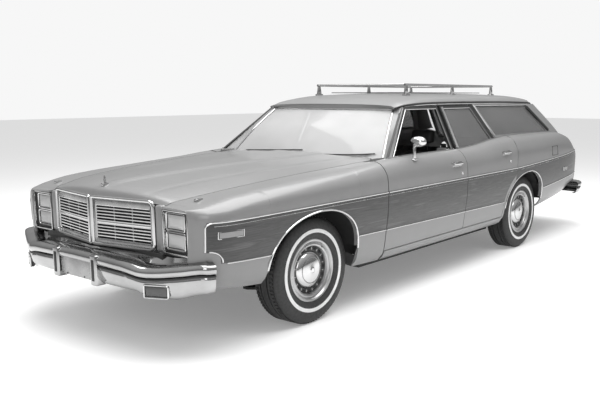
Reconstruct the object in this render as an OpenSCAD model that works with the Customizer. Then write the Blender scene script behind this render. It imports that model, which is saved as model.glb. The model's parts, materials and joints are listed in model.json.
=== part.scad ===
// Long American station wagon of the middle 1970s, with wood-look flanks.
// Millimetres. +Z is up, the nose points to -Y, and +X is the driver's (left) side.
// The origin is on the ground under the middle of the car.

/* [Overall] */
// Length over both bumpers
car_len = 5730; // [5700:10:5760]
// Distance between the axles
wheelbase = 2982; // [2970:1:2990]
// Half width of the doors at the upper moulding
half_w = 1000; // [990:1:1005]
// Height of the roof panel at its middle
roof_top = 1480; // [1470:1:1484]
// Height of the roof rack's rails
rack_top = 1560; // [1540:1:1575]

/* [Wheels] */
// Radius of the tyre
tyre_r = 350; // [345:1:354]
// Width of the tyre
tyre_w = 212; // [200:1:216]
// Distance of the front wheels' middle planes from the car's middle
front_wheel_x = 786; // [780:1:790]
// Distance of the rear wheels' middle planes from the car's middle
rear_wheel_x = 805; // [798:1:808]

/* [Panels] */
// Thickness of a fender or quarter panel with its inner flange
wall_t = 20; // [16:1:24]
// Distance of the doors' inner faces from the car's middle
door_in = 812; // [808:1:818]
// Thickness of the outer skin at a panel's edge
skin_t = 14; // [12:1:16]
// Gap between panels
gap = 6; // [6:1:8]
// Thickness of the glass
glass_t = 6; // [5:1:8]

/* [Hidden] */
$fn = 64;

nose_y = -car_len / 2;
tail_y = car_len / 2;
front_axle_y = nose_y + 1110;
rear_axle_y = front_axle_y + wheelbase;
mould_z = 790;                      // height of the upper moulding
low_mould_z = 530;                  // height of the lower moulding
sill_z = 300;                       // underside of the sills
door_z = 372;                       // underside of the doors
belt_z = 1020;                      // bottom of the front door's window
head_z = 1378;                      // top of the side windows
fender_y0 = nose_y + 195;           // leading edge of the front fenders
door_y0 = front_axle_y + 670;       // front edge of the front doors
door_y1 = door_y0 + 1105;           // seam between the front and rear doors
gate_y = tail_y - 215;              // outer face of the tailgate
quarter_y1 = gate_y - 20;           // rear end of the quarter panels
hood_y1 = door_y0 + 155;            // rear edge of the hood
lean = 0.5;                         // how far the side windows lean in, per unit of height

// Body side stations. Columns: y, half width at the moulding, crown height, crown half width,
// bottom edge height
SIDE = [
  [fender_y0,           half_w - 198, 842,  782, 420],
  [fender_y0 + 22,      half_w - 130, 848,  800, 410],
  [fender_y0 + 70,      half_w - 75,  858,  818, 402],
  [fender_y0 + 145,     half_w - 42,  876,  836, 394],
  [nose_y + 500,        half_w - 25,  906,  852, 375],
  [front_axle_y,        half_w - 12,  952,  868, 330],
  [front_axle_y + 350,  half_w - 6,   974,  873, 308],
  [door_y0,             half_w - 2,   1000, 878, sill_z],
  [door_y0 + 320,       half_w,       1018, 879, sill_z],
  [door_y1,             half_w,       1024, 877, sill_z],
  [door_y1 + 400,       half_w,       1046, 867, sill_z],
  [door_y1 + 710,       half_w - 1,   1074, 853, 310],
  [rear_axle_y,         half_w - 6,   1090, 844, 330],
  [rear_axle_y + 350,   half_w - 14,  1092, 842, 358],
  [rear_axle_y + 850,   half_w - 38,  1080, 838, 400],
  [tail_y - 430,        half_w - 74,  1030, 812, 435],
  [quarter_y1,          half_w - 112, 905,  800, 470]
];
function side_col(k, y) = lookup(y, [for (s = SIDE) [s[0], s[k]]]);

// Outline of the body side at y, from the bottom edge up to the crown: [x, z] points
function side_at(y) =
  let (w = side_col(1, y), crown_z = side_col(2, y), crown_x = side_col(3, y), rise = crown_z - mould_z)
  [
    [w - 95, side_col(4, y)],
    [w - 48, side_col(4, y) + 60],
    [w - 20, low_mould_z],
    [w - 4, 660],
    [w, mould_z],
    [w - 6, mould_z + 0.45 * rise],
    [w + (crown_x - w) * 0.36, mould_z + 0.80 * rise],
    [w + (crown_x - w) * 0.70, mould_z + 0.95 * rise],
    [crown_x, crown_z]
  ];

// Hood stations. Columns: y at the edge, half width, height at the edge, height at the middle,
// how far the middle leads the edge
HOOD = [
  [nose_y + 232,        578, 850, 864, 80],
  [nose_y + 256,        590, 864, 906, 74],
  [nose_y + 340,        618, 880, 934, 48],
  [nose_y + 500,        664, 904, 952, 0],
  [front_axle_y,        722, 956, 990, 0],
  [front_axle_y + 350,  745, 976, 1004, 0],
  [hood_y1,             764, 1000, 1016, 0]
];
function hood_col(k, y) = lookup(y, [for (s = HOOD) [s[0], s[k]]]);

// Roof stations. Columns: y, half width at the drip rail, height there, height at the middle
ROOF = [
  [-548, 664, 1366, 1392],
  [-440, 676, 1386, 1430],
  [-150, 686, 1402, roof_top - 10],
  [300,  688, 1406, roof_top],
  [1000, 688, 1404, roof_top],
  [1600, 684, 1396, roof_top - 10],
  [1836, 676, 1388, roof_top - 32],
  [1890, 660, 1376, roof_top - 72]
];
function roof_at(s) = let (w = s[1], z = s[2], top = s[3]) [
  [w, z], [w - 14, z + 0.30 * (top - z)], [w - 70, z + 0.58 * (top - z)], [w - 240, z + 0.86 * (top - z)],
  [0, top],
  [240 - w, z + 0.86 * (top - z)], [70 - w, z + 0.58 * (top - z)], [14 - w, z + 0.30 * (top - z)], [-w, z]
];

// An open outline moved to its inner side by t
function unit(v) = v / norm(v);
function way_at(p, i) = unit(p[min(i + 1, len(p) - 1)] - p[max(i - 1, 0)]);
function inset(p, t) = [for (i = [0:len(p) - 1]) p[i] + t * [-way_at(p, i)[1], way_at(p, i)[0]]];

// The ends y0 and y1, and every station of the table that lies between them
function stations(y0, y1, table = SIDE) =
  concat([y0], [for (s = table) if (s[0] > y0 + 15 && s[0] < y1 - 15) s[0]], [y1]);

function split(quads) = [for (q = quads) for (t = [[q[0], q[1], q[2]], [q[0], q[2], q[3]]]) t];

// A sheet of even thickness through two grids of points, the outer and the inner one
module sheet(outer, inner) {
  m = len(outer);
  n = len(outer[0]);
  at = function (side, j, i) (side * m + j) * n + i;
  skins = [for (j = [0:m - 2]) for (i = [0:n - 2]) for (k = [0, 1]) k == 0
    ? [at(0, j, i), at(0, j, i + 1), at(0, j + 1, i + 1), at(0, j + 1, i)]
    : [at(1, j, i), at(1, j + 1, i), at(1, j + 1, i + 1), at(1, j, i + 1)]];
  ends = [for (i = [0:n - 2]) for (k = [0, 1]) k == 0
    ? [at(0, 0, i), at(1, 0, i), at(1, 0, i + 1), at(0, 0, i + 1)]
    : [at(0, m - 1, i), at(0, m - 1, i + 1), at(1, m - 1, i + 1), at(1, m - 1, i)]];
  edges = [for (j = [0:m - 2]) for (k = [0, 1]) k == 0
    ? [at(0, j, 0), at(0, j + 1, 0), at(1, j + 1, 0), at(1, j, 0)]
    : [at(0, j, n - 1), at(1, j, n - 1), at(1, j + 1, n - 1), at(0, j + 1, n - 1)]];
  polyhedron(points = [for (g = [outer, inner]) for (row = g) for (p = row) p],
             faces = split(concat(skins, ends, edges)));
}

// A sheet through [x, z] outlines at the stations ys, with a thickness of t to the inner side
module shell(ys, outlines, t) {
  sheet([for (j = [0:len(ys) - 1]) [for (p = outlines[j]) [p[0], ys[j], p[1]]]],
        [for (j = [0:len(ys) - 1]) [for (p = inset(outlines[j], t)) [p[0], ys[j], p[1]]]]);
}

// A solid through closed [x, z] outlines at the stations ys; each sees its last point whole
module loft(ys, outlines) {
  m = len(ys);
  n = len(outlines[0]);
  walls = split([for (j = [0:m - 2]) for (i = [0:n - 1]) let (k = (i + 1) % n)
    [j * n + i, j * n + k, (j + 1) * n + k, (j + 1) * n + i]]);
  caps = [for (i = [0:n - 3]) for (k = [0, 1]) k == 0
    ? [n - 1, i + 1, i]
    : [(m - 1) * n + n - 1, (m - 1) * n + i, (m - 1) * n + i + 1]];
  polyhedron(points = [for (j = [0:m - 1]) for (p = outlines[j]) [p[0], ys[j], p[1]]],
             faces = concat(walls, caps));
}

// A prism whose outline is drawn in the side view as [y, z] points, from x0 to x1
module side_prism(x0, x1) {
  translate([x0, 0, 0]) rotate([90, 0, 90]) linear_extrude(x1 - x0) children();
}
// A prism whose outline is drawn in the front view as [x, z] points, from y0 to y1
module front_prism(y0, y1) {
  translate([0, y1, 0]) rotate([90, 0, 0]) linear_extrude(y1 - y0) children();
}
// A box between two corners
module block(low, high) {
  translate(low) cube(high - low);
}
module both_sides() {
  children();
  mirror([1, 0, 0]) children();
}
module on_side(right) {
  mirror([right ? 1 : 0, 0, 0]) children();
}

// Wheel arch in the side view, longer towards the front; grow widens it
arch_z = 420;
arch_rise = 332;
module arch(axle_y, front_r, rear_r, grow = 0) {
  polygon(concat(
    [[axle_y - front_r - 60 - grow, 200], [axle_y - front_r - 60 - grow, 330]],
    [for (a = [180:-10:0]) [
      axle_y + ((a > 90 ? front_r : rear_r) + grow) * cos(a),
      arch_z + (arch_rise + grow) * pow(sin(a), 0.8)]],
    [[axle_y + rear_r + 8 + grow, 200]]));
}
module front_arch(grow = 0) { arch(front_axle_y, 460, 365, grow); }
module rear_arch(grow = 0) { arch(rear_axle_y, 462, 354, grow); }

// Outer face of the side windows at height z
function window_x(z) = side_col(3, door_y0 + 300) - lean * (z - belt_z);

// A slab along the leaning window plane, from depth d0 to d1 inside it, cut to a side outline
module window_slab(d0, d1, z0 = 960, z1 = 1420) {
  intersection() {
    front_prism(-1300, 2700) polygon([
      [window_x(z0) - d1, z0], [window_x(z0) - d0, z0], [window_x(z1) - d0, z1], [window_x(z1) - d1, z1]]);
    side_prism(400, 1100) children();
  }
}

// Side outlines of the openings: the doors' window frames and the quarter windows
front_pane = [[-880, 985], [-36, 985], [-22, 1352], [-464, 1352]];
rear_pane = [[86, 990], [700, 1000], [684, 1080], [538, 1352], [92, 1352]];
quarter_window = [[788, 1100], [2030, 1094], [1697, 1366], [642, 1370]];

// ---- front end ----
module front_fender(right) {
  ys = stations(fender_y0, door_y0 - gap);
  seam = [for (y = ys) concat(side_at(y), [[hood_col(1, y) + gap + 1, hood_col(2, y)]])];
  color("silver") on_side(right) difference() {
    shell(ys, seam, wall_t);
    side_prism(500, 1200) front_arch();
    // the bumper's end wraps into this corner, under a stepped quarter round
    side_prism(500, 1200) polygon(concat(
      [[nose_y - 10, 300], [step_y + step_r, 300]],
      [for (a = [0:15:90]) [step_y + step_r * cos(a), step_z + step_r * sin(a)]],
      [[step_y - 40, step_z + step_r], [nose_y - 10, step_z + step_r]]));
  }
}
step_y = nose_y + 250;              // where the step in the fender's lower corner starts
step_z = 560;
step_r = 58;

module cowl_panel() {
  y0 = door_y0 + 4;
  foot_z = 1016;                    // top of the blocks under the windshield pillars
  color("silver") {
    // trough below the rear edge of the hood, up to the foot of the windshield
    side_prism(-764, 764) polygon([
      [y0, 930], [hood_y1 + 16, 930], [hood_y1 + 62, 976], [hood_y1 + 46, 986],
      [hood_y1 + 8, 946], [y0, 946]]);
    // tops beside the hood, from the fenders back to the windshield pillars
    both_sides() {
      block([756, y0, 930], [door_in - 6, hood_y1 + 50, 962]);
      block([772, y0, 962], [door_in - 6, hood_y1 + 50, 990]);
      block([782, hood_y1 - 90, 990], [door_in - 6, hood_y1 + 50, foot_z]);
    }
  }
}

// Panel that carries the radiator, lamps and grille, with the valance below
lamp_y = nose_y + 222;              // face of the headlamps
lamp_x = 676;                       // middle of the headlamps
lamp_zs = [662, 770];               // heights of the lower and the upper lamps
lamp_size = [82, 46];               // half width and half height of a headlamp's pocket
face_z = 580;                       // lower edge of the front face
module front_panel() {
  y1 = lamp_y + 60;
  valance_y = lamp_y - 40;
  color("silver") {
    difference() {
      union() {
        block([-776, lamp_y, face_z], [776, y1, 820]);
        both_sides() block([560, fender_y0 - 12, face_z], [584, y1, 820]);
      }
      block([-540, lamp_y - 30, face_z + 8], [540, y1 + 1, 860]);
      for (s = [-1, 1]) for (z = lamp_zs)
        block([s * lamp_x - lamp_size[0], lamp_y - 1, z - lamp_size[1]],
              [s * lamp_x + lamp_size[0], lamp_y + 30, z + lamp_size[1]]);
    }
    // radiator support down to the frame
    difference() {
      block([-640, y1, 516], [640, y1 + 30, 820]);
      block([-360, y1 - 1, 550], [360, y1 + 31, 790]);
    }
    // valance behind the bumper, notched for the frame's horns
    difference() {
      block([-560, valance_y, 392], [560, valance_y + 18, face_z]);
      both_sides() block([376, valance_y - 1, 380], [464, valance_y + 19, 520]);
    }
    both_sides() block([540, valance_y, face_z - 20], [562, lamp_y + 8, face_z]);
  }
}

grille_w = 522;
grille_z0 = 592;
grille_z1 = 822;
grille_turn = 9;                    // each half turns back by this many degrees
module grille() {
  bars = 9;
  top_bar = [12, 46];               // depth and height of the bar in front of the hood's edge
  in_z0 = grille_z0 + 30;
  in_z1 = grille_z1 - 18;
  color("gainsboro") both_sides() translate([6, nose_y + 122, 0]) rotate([0, 0, grille_turn]) {
    difference() {
      union() {
        block([0, 0, grille_z0], [grille_w, 46, grille_z1]);
        block([0, 0, grille_z1 - 1], [grille_w - 24, top_bar[0], grille_z1 + top_bar[1]]);
      }
      block([40, -1, in_z0], [grille_w - 24, 47, in_z1]);
    }
    for (i = [1:bars]) let (z = in_z0 + i * (in_z1 - in_z0) / (bars + 1))
      block([38, 22, z - 3], [grille_w - 22, 42, z + 3]);
    for (i = [1, 2]) let (x = 40 + i * (grille_w - 64) / 3) block([x, 26, in_z0 - 2], [x + 6, 38, in_z1 + 2]);
  }
}

module headlamps() {
  half = lamp_size - [2, 2];
  color("whitesmoke") both_sides() for (z = lamp_zs)
    block([lamp_x - half[0], lamp_y - 6, z - half[1]], [lamp_x + half[0], lamp_y + 30, z + half[1]]);
}

// Pocket for a signal lamp in the bumper's lower face, turned with that face
module signal_place(margin) {
  translate([588, nose_y + 58, 0]) rotate([0, 0, 24])
    block([-margin, -12 - margin, 364 - margin], [150 + margin, 10 + margin, 436 + margin]);
}
module signal_lamps() {
  color("orange") both_sides() signal_place(0);
}

// Bar in the plan view from the middle to an end: outer face points, then its inner side
module bumper_half(face, z0, z1, t = 24) {
  in = inset(face, t);
  translate([0, 0, z0]) linear_extrude(z1 - z0)
    polygon(concat(face, [for (i = [len(in) - 1:-1:0]) in[i]]));
}

front_face = [for (p = [[0, 0], [350, 3], [540, 20], [640, 58], [800, 128], [900, 176], [944, 202], [962, 250]])
              [p[0], nose_y + p[1]]];
plate_holes = [177.8, 120.65];      // spacing of a licence plate's bolts
plate_hole_r = 3.5;
module plate_bolts(y, z) {
  for (x = [-0.5, 0.5]) for (k = [-0.5, 0.5])
    translate([x * plate_holes[0], y, z + k * plate_holes[1]]) rotate([-90, 0, 0])
      cylinder(r = plate_hole_r, h = 120);
}
front_plate_z = 472;
module front_bumper() {
  lower = [for (p = front_face) p + [-4, 12]];
  color("gainsboro") difference() {
    union() {
      both_sides() bumper_half(front_face, 484, 560);
      // lower face, and the deep ends that carry the signal lamps
      both_sides() bumper_half(lower, 392, 486);
      both_sides() bumper_half([for (p = lower) if (p[0] > 500) p], 352, 394);
      // bar that ties the bumper to the frame's horns
      block([-470, nose_y + 20, 484], [470, nose_y + 110, 510]);
      // guards, with the flat face for a licence plate between them
      both_sides() block([168, nose_y + 1, 372], [226, nose_y + 60, 552]);
      block([-160, nose_y, 392], [160, nose_y + 30, 552]);
    }
    both_sides() signal_place(1);
    plate_bolts(nose_y - 1, front_plate_z);
  }
}

// ---- rear end ----
rear_face = [for (p = [[0, 0], [420, 4], [700, 14], [860, 44], [918, 96], [934, 176], [936, 240]])
             [p[0], tail_y - p[1]]];
hitch_r = 12.7;                     // hole for the stud of a tow ball
hitch_y = tail_y - 74;
module rear_bumper() {
  color("gainsboro") difference() {
    union() {
      both_sides() mirror([0, 1, 0])
        bumper_half([for (p = rear_face) [p[0], -p[1]]], 372, 512);
      // step plate along the top, and the brackets to the frame's horns
      block([-560, tail_y - 124, 502], [560, tail_y - 16, 512]);
      both_sides() block([470, tail_y - 130, 404], [560, tail_y - 16, 504]);
    }
    translate([0, hitch_y, 480]) cylinder(r = hitch_r, h = 60);
  }
}

// Seam between the rear door and the quarter panel: [y, z] from the belt down to the arch
rear_seam = [[1012, 1120], [1000, 1060], [966, 930], [938, mould_z], [900, 690], [840, 560]];
module rear_of_seam(extra) {
  polygon(concat([for (p = rear_seam) p + [extra, 0]], [[840 + extra, 200], [2800, 200], [2800, 1120]]));
  rear_arch(40 - extra);
}

module quarter_panel(right) {
  ys = stations(640, quarter_y1);
  color("silver") on_side(right) {
    difference() {
      intersection() {
        shell(ys, [for (y = ys) side_at(y)], wall_t);
        side_prism(500, 1200) rear_of_seam(gap);
      }
      side_prism(500, 1200) rear_arch();
      side_prism(500, 1200) polygon([[quarter_y1 - 60, 300], [quarter_y1 + 100, 300],
                                     [quarter_y1 + 100, 520], [quarter_y1 - 60, 520]]);
    }
    // end wall that carries the tail lamp
    block([792, quarter_y1 - 22, 560], [842, quarter_y1, 880]);
    // trim inside the load space
    side_prism(790, 802) polygon([
      [1660, 602], [2500, 602], [2560, 880], [2300, 1030], [1020, 1056], [1020, 800], [1500, 790]]);
    block([798, 1024, 1040], [836, 2240, 1052]);
    block([796, 2500, 600], [850, 2590, 620]);
  }
}

module tail_lamps() {
  color("firebrick") both_sides() block([800, quarter_y1 + 1, 584], [872, quarter_y1 + 22, 862]);
}

// Outer face of the tailgate in the side view, from the bottom up to the window
gate_face = [[gate_y - 12, 538], [gate_y, 640], [gate_y, 800], [gate_y - 18, 862], [gate_y - 70, 902],
             [gate_y - 160, 938], [gate_y - 262, 984]];
gate_w = 780;
module gate_layer(d0, d1, w) {
  a = inset(gate_face, d0);
  b = inset(gate_face, d1);
  side_prism(-w, w) polygon(concat(a, [for (i = [len(b) - 1:-1:0]) b[i]]));
}
rear_plate_z = 722;
module tailgate() {
  color("silver") difference() {
    union() {
      gate_layer(0, skin_t, gate_w);
      gate_layer(skin_t / 2, 66, gate_w - 24);
    }
    plate_bolts(gate_y - 40, rear_plate_z);
  }
}
// The window's plane runs from the gate's top edge to the rear edge of the roof
glass_foot = [gate_y - 278, 976];
glass_head = [1906, 1368];
module tailgate_glass() {
  side = [glass_foot, glass_head];
  in = inset(side, glass_t);
  color("lightcyan", 0.4) intersection() {
    side_prism(-760, 760) polygon([side[0], side[1], in[1], in[0]]);
    front_prism(1700, 2600) polygon([[-730, 960], [730, 960], [598, 1372], [-598, 1372]]);
  }
}

// ---- roof and glass ----
module roof_panel() {
  ys = [for (s = ROOF) s[0]];
  color("silver") {
    shell(ys, [for (s = ROOF) roof_at(s)], 24);
  }
}

// The ring of pillars and rails round each side's windows, below the roof panel
front_foot_z = 1016;
middle_foot_z = 1034;
rear_foot_z = 1098;
roof_seat = [[1880, 1354], [1836, 1370], [1600, 1380], [1000, 1388], [-150, 1384], [-440, 1366], [-548, 1343]];
header_w = 604;                     // half width of the headers
header_t = 36;                      // their depth along the car
shield_head_y = -512;               // upper edge of the windshield
module window_pillars() {
  rail_z = head_z - 40;             // underside of the rail over the doors
  color("silver") both_sides() {
    // inner ring, behind the doors' window frames
    difference() {
      window_slab(34, 96) polygon(concat([
        [-1004, front_foot_z], [-900, front_foot_z], [-100, middle_foot_z], [760, rear_foot_z],
        [2080, rear_foot_z], [2250, 1090]], roof_seat, [[-606, 1343]]));
      window_slab(30, 100) polygon([[-918, 1000], [18, 1000], [18, rail_z], [-434, rail_z]]);
      window_slab(30, 100) polygon([[70, 1000], [790, 1000], [764, 1090], [606, rail_z], [70, rail_z]]);
      window_slab(30, 100) polygon(quarter_window);
    }
    // outer faces of the rear pillars
    difference() {
      window_slab(0, 36) polygon(concat([[766, rear_foot_z], [2076, rear_foot_z], [2262, 1074]],
        [for (p = roof_seat) if (p[0] > 900) p], [[606, 1386]]));
      window_slab(-5, 40) polygon(quarter_window);
    }
    // hinge pillar and lock pillar below the windows
    block([746, door_y0 + 8, door_z - gap], [door_in - 8, door_y0 + 70, 926]);
    block([700, door_y1 - 30, door_z - gap], [door_in - 8, door_y1 + 36, middle_foot_z - 4]);
    block([door_in - 40, door_y1 - 10, middle_foot_z - 6], [door_in - 8, door_y1 + 36, middle_foot_z + 60]);
  }
  // header over the windshield and header over the rear window
  color("silver") {
    block([-header_w, shield_head_y, 1322], [header_w, shield_head_y + header_t, 1342]);
    block([-header_w, 1840, 1330], [header_w, 1840 + header_t, 1352]);
  }
}

// Windshield: rows from foot to head, with its middle bowed forward
function shield_row(y, z, w, bow) = [for (k = [-4:4]) [w * sin(k * 90 / 4.6), y - bow * cos(k * 90 / 4.6), z]];
module windshield() {
  rows = [shield_row(-862, 990, 786, 44), shield_row(-702, 1172, 716, 42),
    shield_row(shield_head_y, 1350, 628, 34)];
  color("lightcyan", 0.4)
    sheet(rows, [for (row = rows) [for (p = row) p + [0, glass_t * 1.2, -glass_t * 0.6]]]);
}

module quarter_glass() {
  color("lightcyan", 0.4) both_sides() window_slab(14, 14 + glass_t, 1080, 1380)
    offset_inside(quarter_window, 2);
}
// A window outline drawn in by d all round
module offset_inside(p, d) {
  polygon([for (i = [0:len(p) - 1]) let (
    a = unit(p[(i + 1) % len(p)] - p[i]),
    b = unit(p[(i + len(p) - 1) % len(p)] - p[i])) p[i] + d * (a + b)]);
}

rack_x = 478;
rack_y0 = -140;
rack_y1 = 1390;
rail_r = 11;                        // radius of the rack's rails, round for clamps
module roof_rack() {
  z = rack_top - rail_r;
  color("gainsboro") {
    both_sides() translate([rack_x, rack_y0, z]) rotate([-90, 0, 0]) cylinder(r = rail_r, h = rack_y1 - rack_y0);
    for (y = [rack_y0 + 20, rack_y1 - 20])
      translate([-rack_x, y, z]) rotate([0, 90, 0]) cylinder(r = rail_r - 2, h = 2 * rack_x);
    both_sides() for (y = [rack_y0 + 20, (rack_y0 + rack_y1) / 2, rack_y1 - 20]) {
      block([rack_x - 7, y - 16, roof_top - 12], [rack_x + 7, y + 16, z]);
      block([rack_x - 20, y - 32, roof_top - 26], [rack_x + 20, y + 32, roof_top - 12]);
    }
  }
}

// ---- doors ----
// Lower part of a door: an outer skin
module door_skin(y0, y1) {
  ys = stations(y0, y1);
  shell(ys, [for (y = ys) side_at(y)], skin_t);
}
// The rest of a door's thickness, clear of the skin's edges so that the door can swing
door_step = 24;
module door_core(y0, y1) {
  ys = stations(y0 + door_step, y1 - door_step);
  loft(ys, [for (y = ys) let (o = inset(side_at(y), skin_t / 2)) concat(
    o, [[door_in, side_col(2, y) - 8], [door_in, side_col(4, y) + 6]])]);
}
module below_doors() {
  block([700, door_y0 - 10, 200], [1100, 1200, door_z]);
}

module front_door(right) {
  y0 = door_y0 + gap / 2;
  y1 = door_y1 - gap / 2;
  color("silver") on_side(right) {
    difference() {
      union() {
        door_skin(y0, y1);
        door_core(y0, y1);
      }
      below_doors();
      // slot that the glass winds down into
      window_slab(6, 40, 900, 1120) polygon([[-888, 900], [-28, 900], [-28, 1100], [-888, 1100]]);
    }
    difference() {
      window_slab(4, 26, 990, 1372) polygon([[-955, 990], [-6, 990], [8, 1372], [-486, 1372]]);
      window_slab(0, 30, 980, 1352) polygon(front_pane);
    }
  }
}

module front_door_glass_right() {
  color("lightcyan", 0.4) on_side(true)
    window_slab(12, 12 + glass_t, 980, 1352) offset_inside(front_pane, 4);
}

module rear_door(right) {
  y0 = door_y1 + gap / 2;
  y1 = 996;
  color("silver") on_side(right) {
    difference() {
      union() {
        difference() {
          door_skin(y0, y1);
          side_prism(700, 1100) rear_of_seam(0);
        }
        difference() {
          door_core(y0, y1);
          side_prism(700, 1100) rear_of_seam(-door_step - gap);
        }
      }
      below_doors();
      window_slab(6, 40, 900, 1120) polygon([[78, 900], [716, 900], [706, 1140], [78, 1140]]);
    }
    difference() {
      window_slab(4, 26, 1000, 1372) polygon([[34, 1000], [750, 1000], [722, 1090], [566, 1372], [48, 1372]]);
      window_slab(0, 30, 990, 1352) polygon(rear_pane);
    }
  }
}

module rear_door_glass(right) {
  color("lightcyan", 0.4) on_side(right)
    window_slab(12, 12 + glass_t, 985, 1352) offset_inside(rear_pane, 4);
}

module side_mirror() {
  color("gainsboro") {
    block([928, -716, 984], [964, -664, 996]);
    block([938, -704, 994], [954, -676, 1086]);
    block([900, -716, 1084], [1040, -664, 1164]);
  }
}

module hood() {
  rows = [for (s = HOOD) [for (f = [1, 0.86, 0.6, 0.3, 0, -0.3, -0.6, -0.86, -1])
    [s[1] * f, s[0] - s[4] * (1 - abs(f)), s[2] + (s[3] - s[2]) * (1 - pow(abs(f), 2.2))]]];
  color("silver") {
    sheet(rows, [for (row = rows) [for (p = row) p - [0, 0, 18]]]);
    // ornament on the nose
    block([-4, nose_y + 214, 895], [4, nose_y + 236, 988]);
  }
}

// ---- underside ----
floor_z = 285;                      // underside of the front floor
floor_t = 16;
load_z = 585;                       // underside of the load floor
kick_y = 958;                       // where the floor steps up over the rear axle
module floor_pan() {
  line = [[-690, floor_z], [-170, floor_z], [-110, 415], [110, 415], [170, floor_z], [690, floor_z]];
  color("dimgray") {
    front_prism(-1000, kick_y - 4) polygon(concat(line, [for (i = [5:-1:0]) line[i] + [0, floor_t]]));
    // toe board and firewall, open below for the gearbox
    difference() {
      side_prism(-740, 740) polygon([
        [-1000, floor_z], [-984, floor_z + floor_t], [-1090, 560], [-1090, 926], [-1106, 926], [-1106, 556]]);
      block([-164, -1120, 270], [164, -1001, 440]);
      block([-104, -1002, 270], [104, -960, 409]);
    }
    // sills
    both_sides() front_prism(door_y0 + 2, 640) polygon([[686, sill_z - 15], [860, sill_z - 15],
      [905, sill_z], [945, sill_z + 56], [945, door_z - gap], [686, door_z - gap]]);
    // step, load floor and rear cross panel
    difference() {
      block([-636, kick_y - floor_t, floor_z], [636, kick_y, load_z + floor_t]);
      block([-104, kick_y - 40, 270], [104, kick_y + 10, 409]);
    }
    block([-636, kick_y - floor_t, load_z], [636, quarter_y1 - 90, load_z + floor_t]);
    block([-784, 1650, load_z], [784, quarter_y1 - 90, load_z + floor_t]);
    block([-784, quarter_y1 - 106, 490], [784, quarter_y1 - 90, load_z + floor_t]);
    // wheelhouses over the rear wheels
    both_sides() difference() {
      translate([632, rear_axle_y, tyre_r]) rotate([0, 90, 0]) cylinder(r = 424, h = 150, $fn = 96);
      translate([644, rear_axle_y, tyre_r]) rotate([0, 90, 0]) cylinder(r = 412, h = 160, $fn = 96);
      block([600, rear_axle_y - 500, -100], [900, rear_axle_y + 500, 470]);
    }
  }
}

// Frame rail stations. Columns: y, x of the middle, z of the middle
RAIL = [
  [nose_y + 112, 420, 466], [-2300, 420, 440], [-1330, 420, 400], [-1020, 640, 238],
  [964, 640, 238], [1110, 524, 440], [1500, 524, 500], [1760, 524, 440], [tail_y - 132, 524, 440]
];
module chassis_frame() {
  w = 36;
  h = 42;
  color("dimgray") {
    both_sides() loft([for (r = RAIL) r[0]], [for (r = RAIL)
      [[r[1] + w, r[2] - h], [r[1] + w, r[2] + h], [r[1] - w, r[2] + h], [r[1] - w, r[2] - h]]]);
    // cross members
    block([-390, front_axle_y - 60, 250], [390, front_axle_y + 60, 310]);
    both_sides() block([386, front_axle_y - 60, 250], [440, front_axle_y + 60, 400]);
    block([-610, -300, 206], [610, -230, 240]);
    block([-500, 2310, 410], [500, 2370, 440]);
    // lower and upper control arms
    both_sides() for (a = [[186, 18, 160], [500, 14, 110]])
      translate([0, front_axle_y, a[0]]) linear_extrude(a[1])
        polygon([[kingpin_x + 16, -22], [kingpin_x + 16, 22], [600, 44], [440, a[2]], [400, a[2]], [400, -a[2]],
                 [440, -a[2]], [600, -44]]);
    both_sides() for (s = [-1, 1]) {
      block([400, front_axle_y + s * 120 - 25, 190], [440, front_axle_y + s * 120 + 25, 380]);
      block([400, front_axle_y + s * 80 - 20, 420], [440, front_axle_y + s * 80 + 20, 512]);
    }
  }
}

module engine_block() {
  color("slategray") {
    block([-270, -2080, 350], [270, -1330, 880]);
    // gearbox, in the tunnel
    translate([0, -1340, 316]) rotate([-90, 0, 0]) cylinder(r = 82, h = 500);
  }
}

exhaust_x = -330;
exhaust_z = 172;
module exhaust_pipe() {
  color("gray") {
    translate([exhaust_x, -1250, exhaust_z]) rotate([-90, 0, 0]) cylinder(r = 26, h = 3900);
    translate([exhaust_x, 60, exhaust_z + 18]) rotate([-90, 0, 0]) oval(600);
  }
}
module oval(h) {
  linear_extrude(h) {
    circle(r = 58);
    translate([-50, -58]) square([100, 116]);
    for (x = [-50, 50]) translate([x, 0]) circle(r = 58);
  }
}

module fuel_tank() {
  color("gray") side_prism(-210, 440) polygon([
    [1660, 330], [1690, 300], [2240, 300], [2270, 330], [2270, 540], [1660, 540]]);
}

kingpin_x = 710;
stub_r = 17;                        // radius of the stub axles
module stub(x, wheel_x) {
  translate([x, 0, 0]) rotate([0, 90, 0]) cylinder(r = stub_r, h = wheel_x + 40 - x);
}
module rear_axle() {
  color("dimgray") translate([0, rear_axle_y, tyre_r]) {
    rotate([0, 90, 0]) rotate_extrude() polygon([
      [0, -670], [40, -670], [40, -120], [100, -96], [140, -50], [140, 50], [100, 96], [40, 120], [40, 670], [0, 670]]);
    both_sides() stub(650, rear_wheel_x);
    // propeller shaft
    rotate([90, 0, 0]) cylinder(r = 32, h = rear_axle_y + 780);
  }
}

module knuckle(right) {
  color("dimgray") on_side(right) translate([0, front_axle_y, tyre_r]) {
    translate([kingpin_x, 0, -140]) cylinder(r = 24, h = 284);
    stub(kingpin_x, front_wheel_x);
    // steering arm and brake caliper
    block([kingpin_x - 12, 16, -60], [kingpin_x + 12, 150, -30]);
    block([kingpin_x + 6, -120, -40], [kingpin_x + 34, -10, 60]);
  }
}

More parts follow.
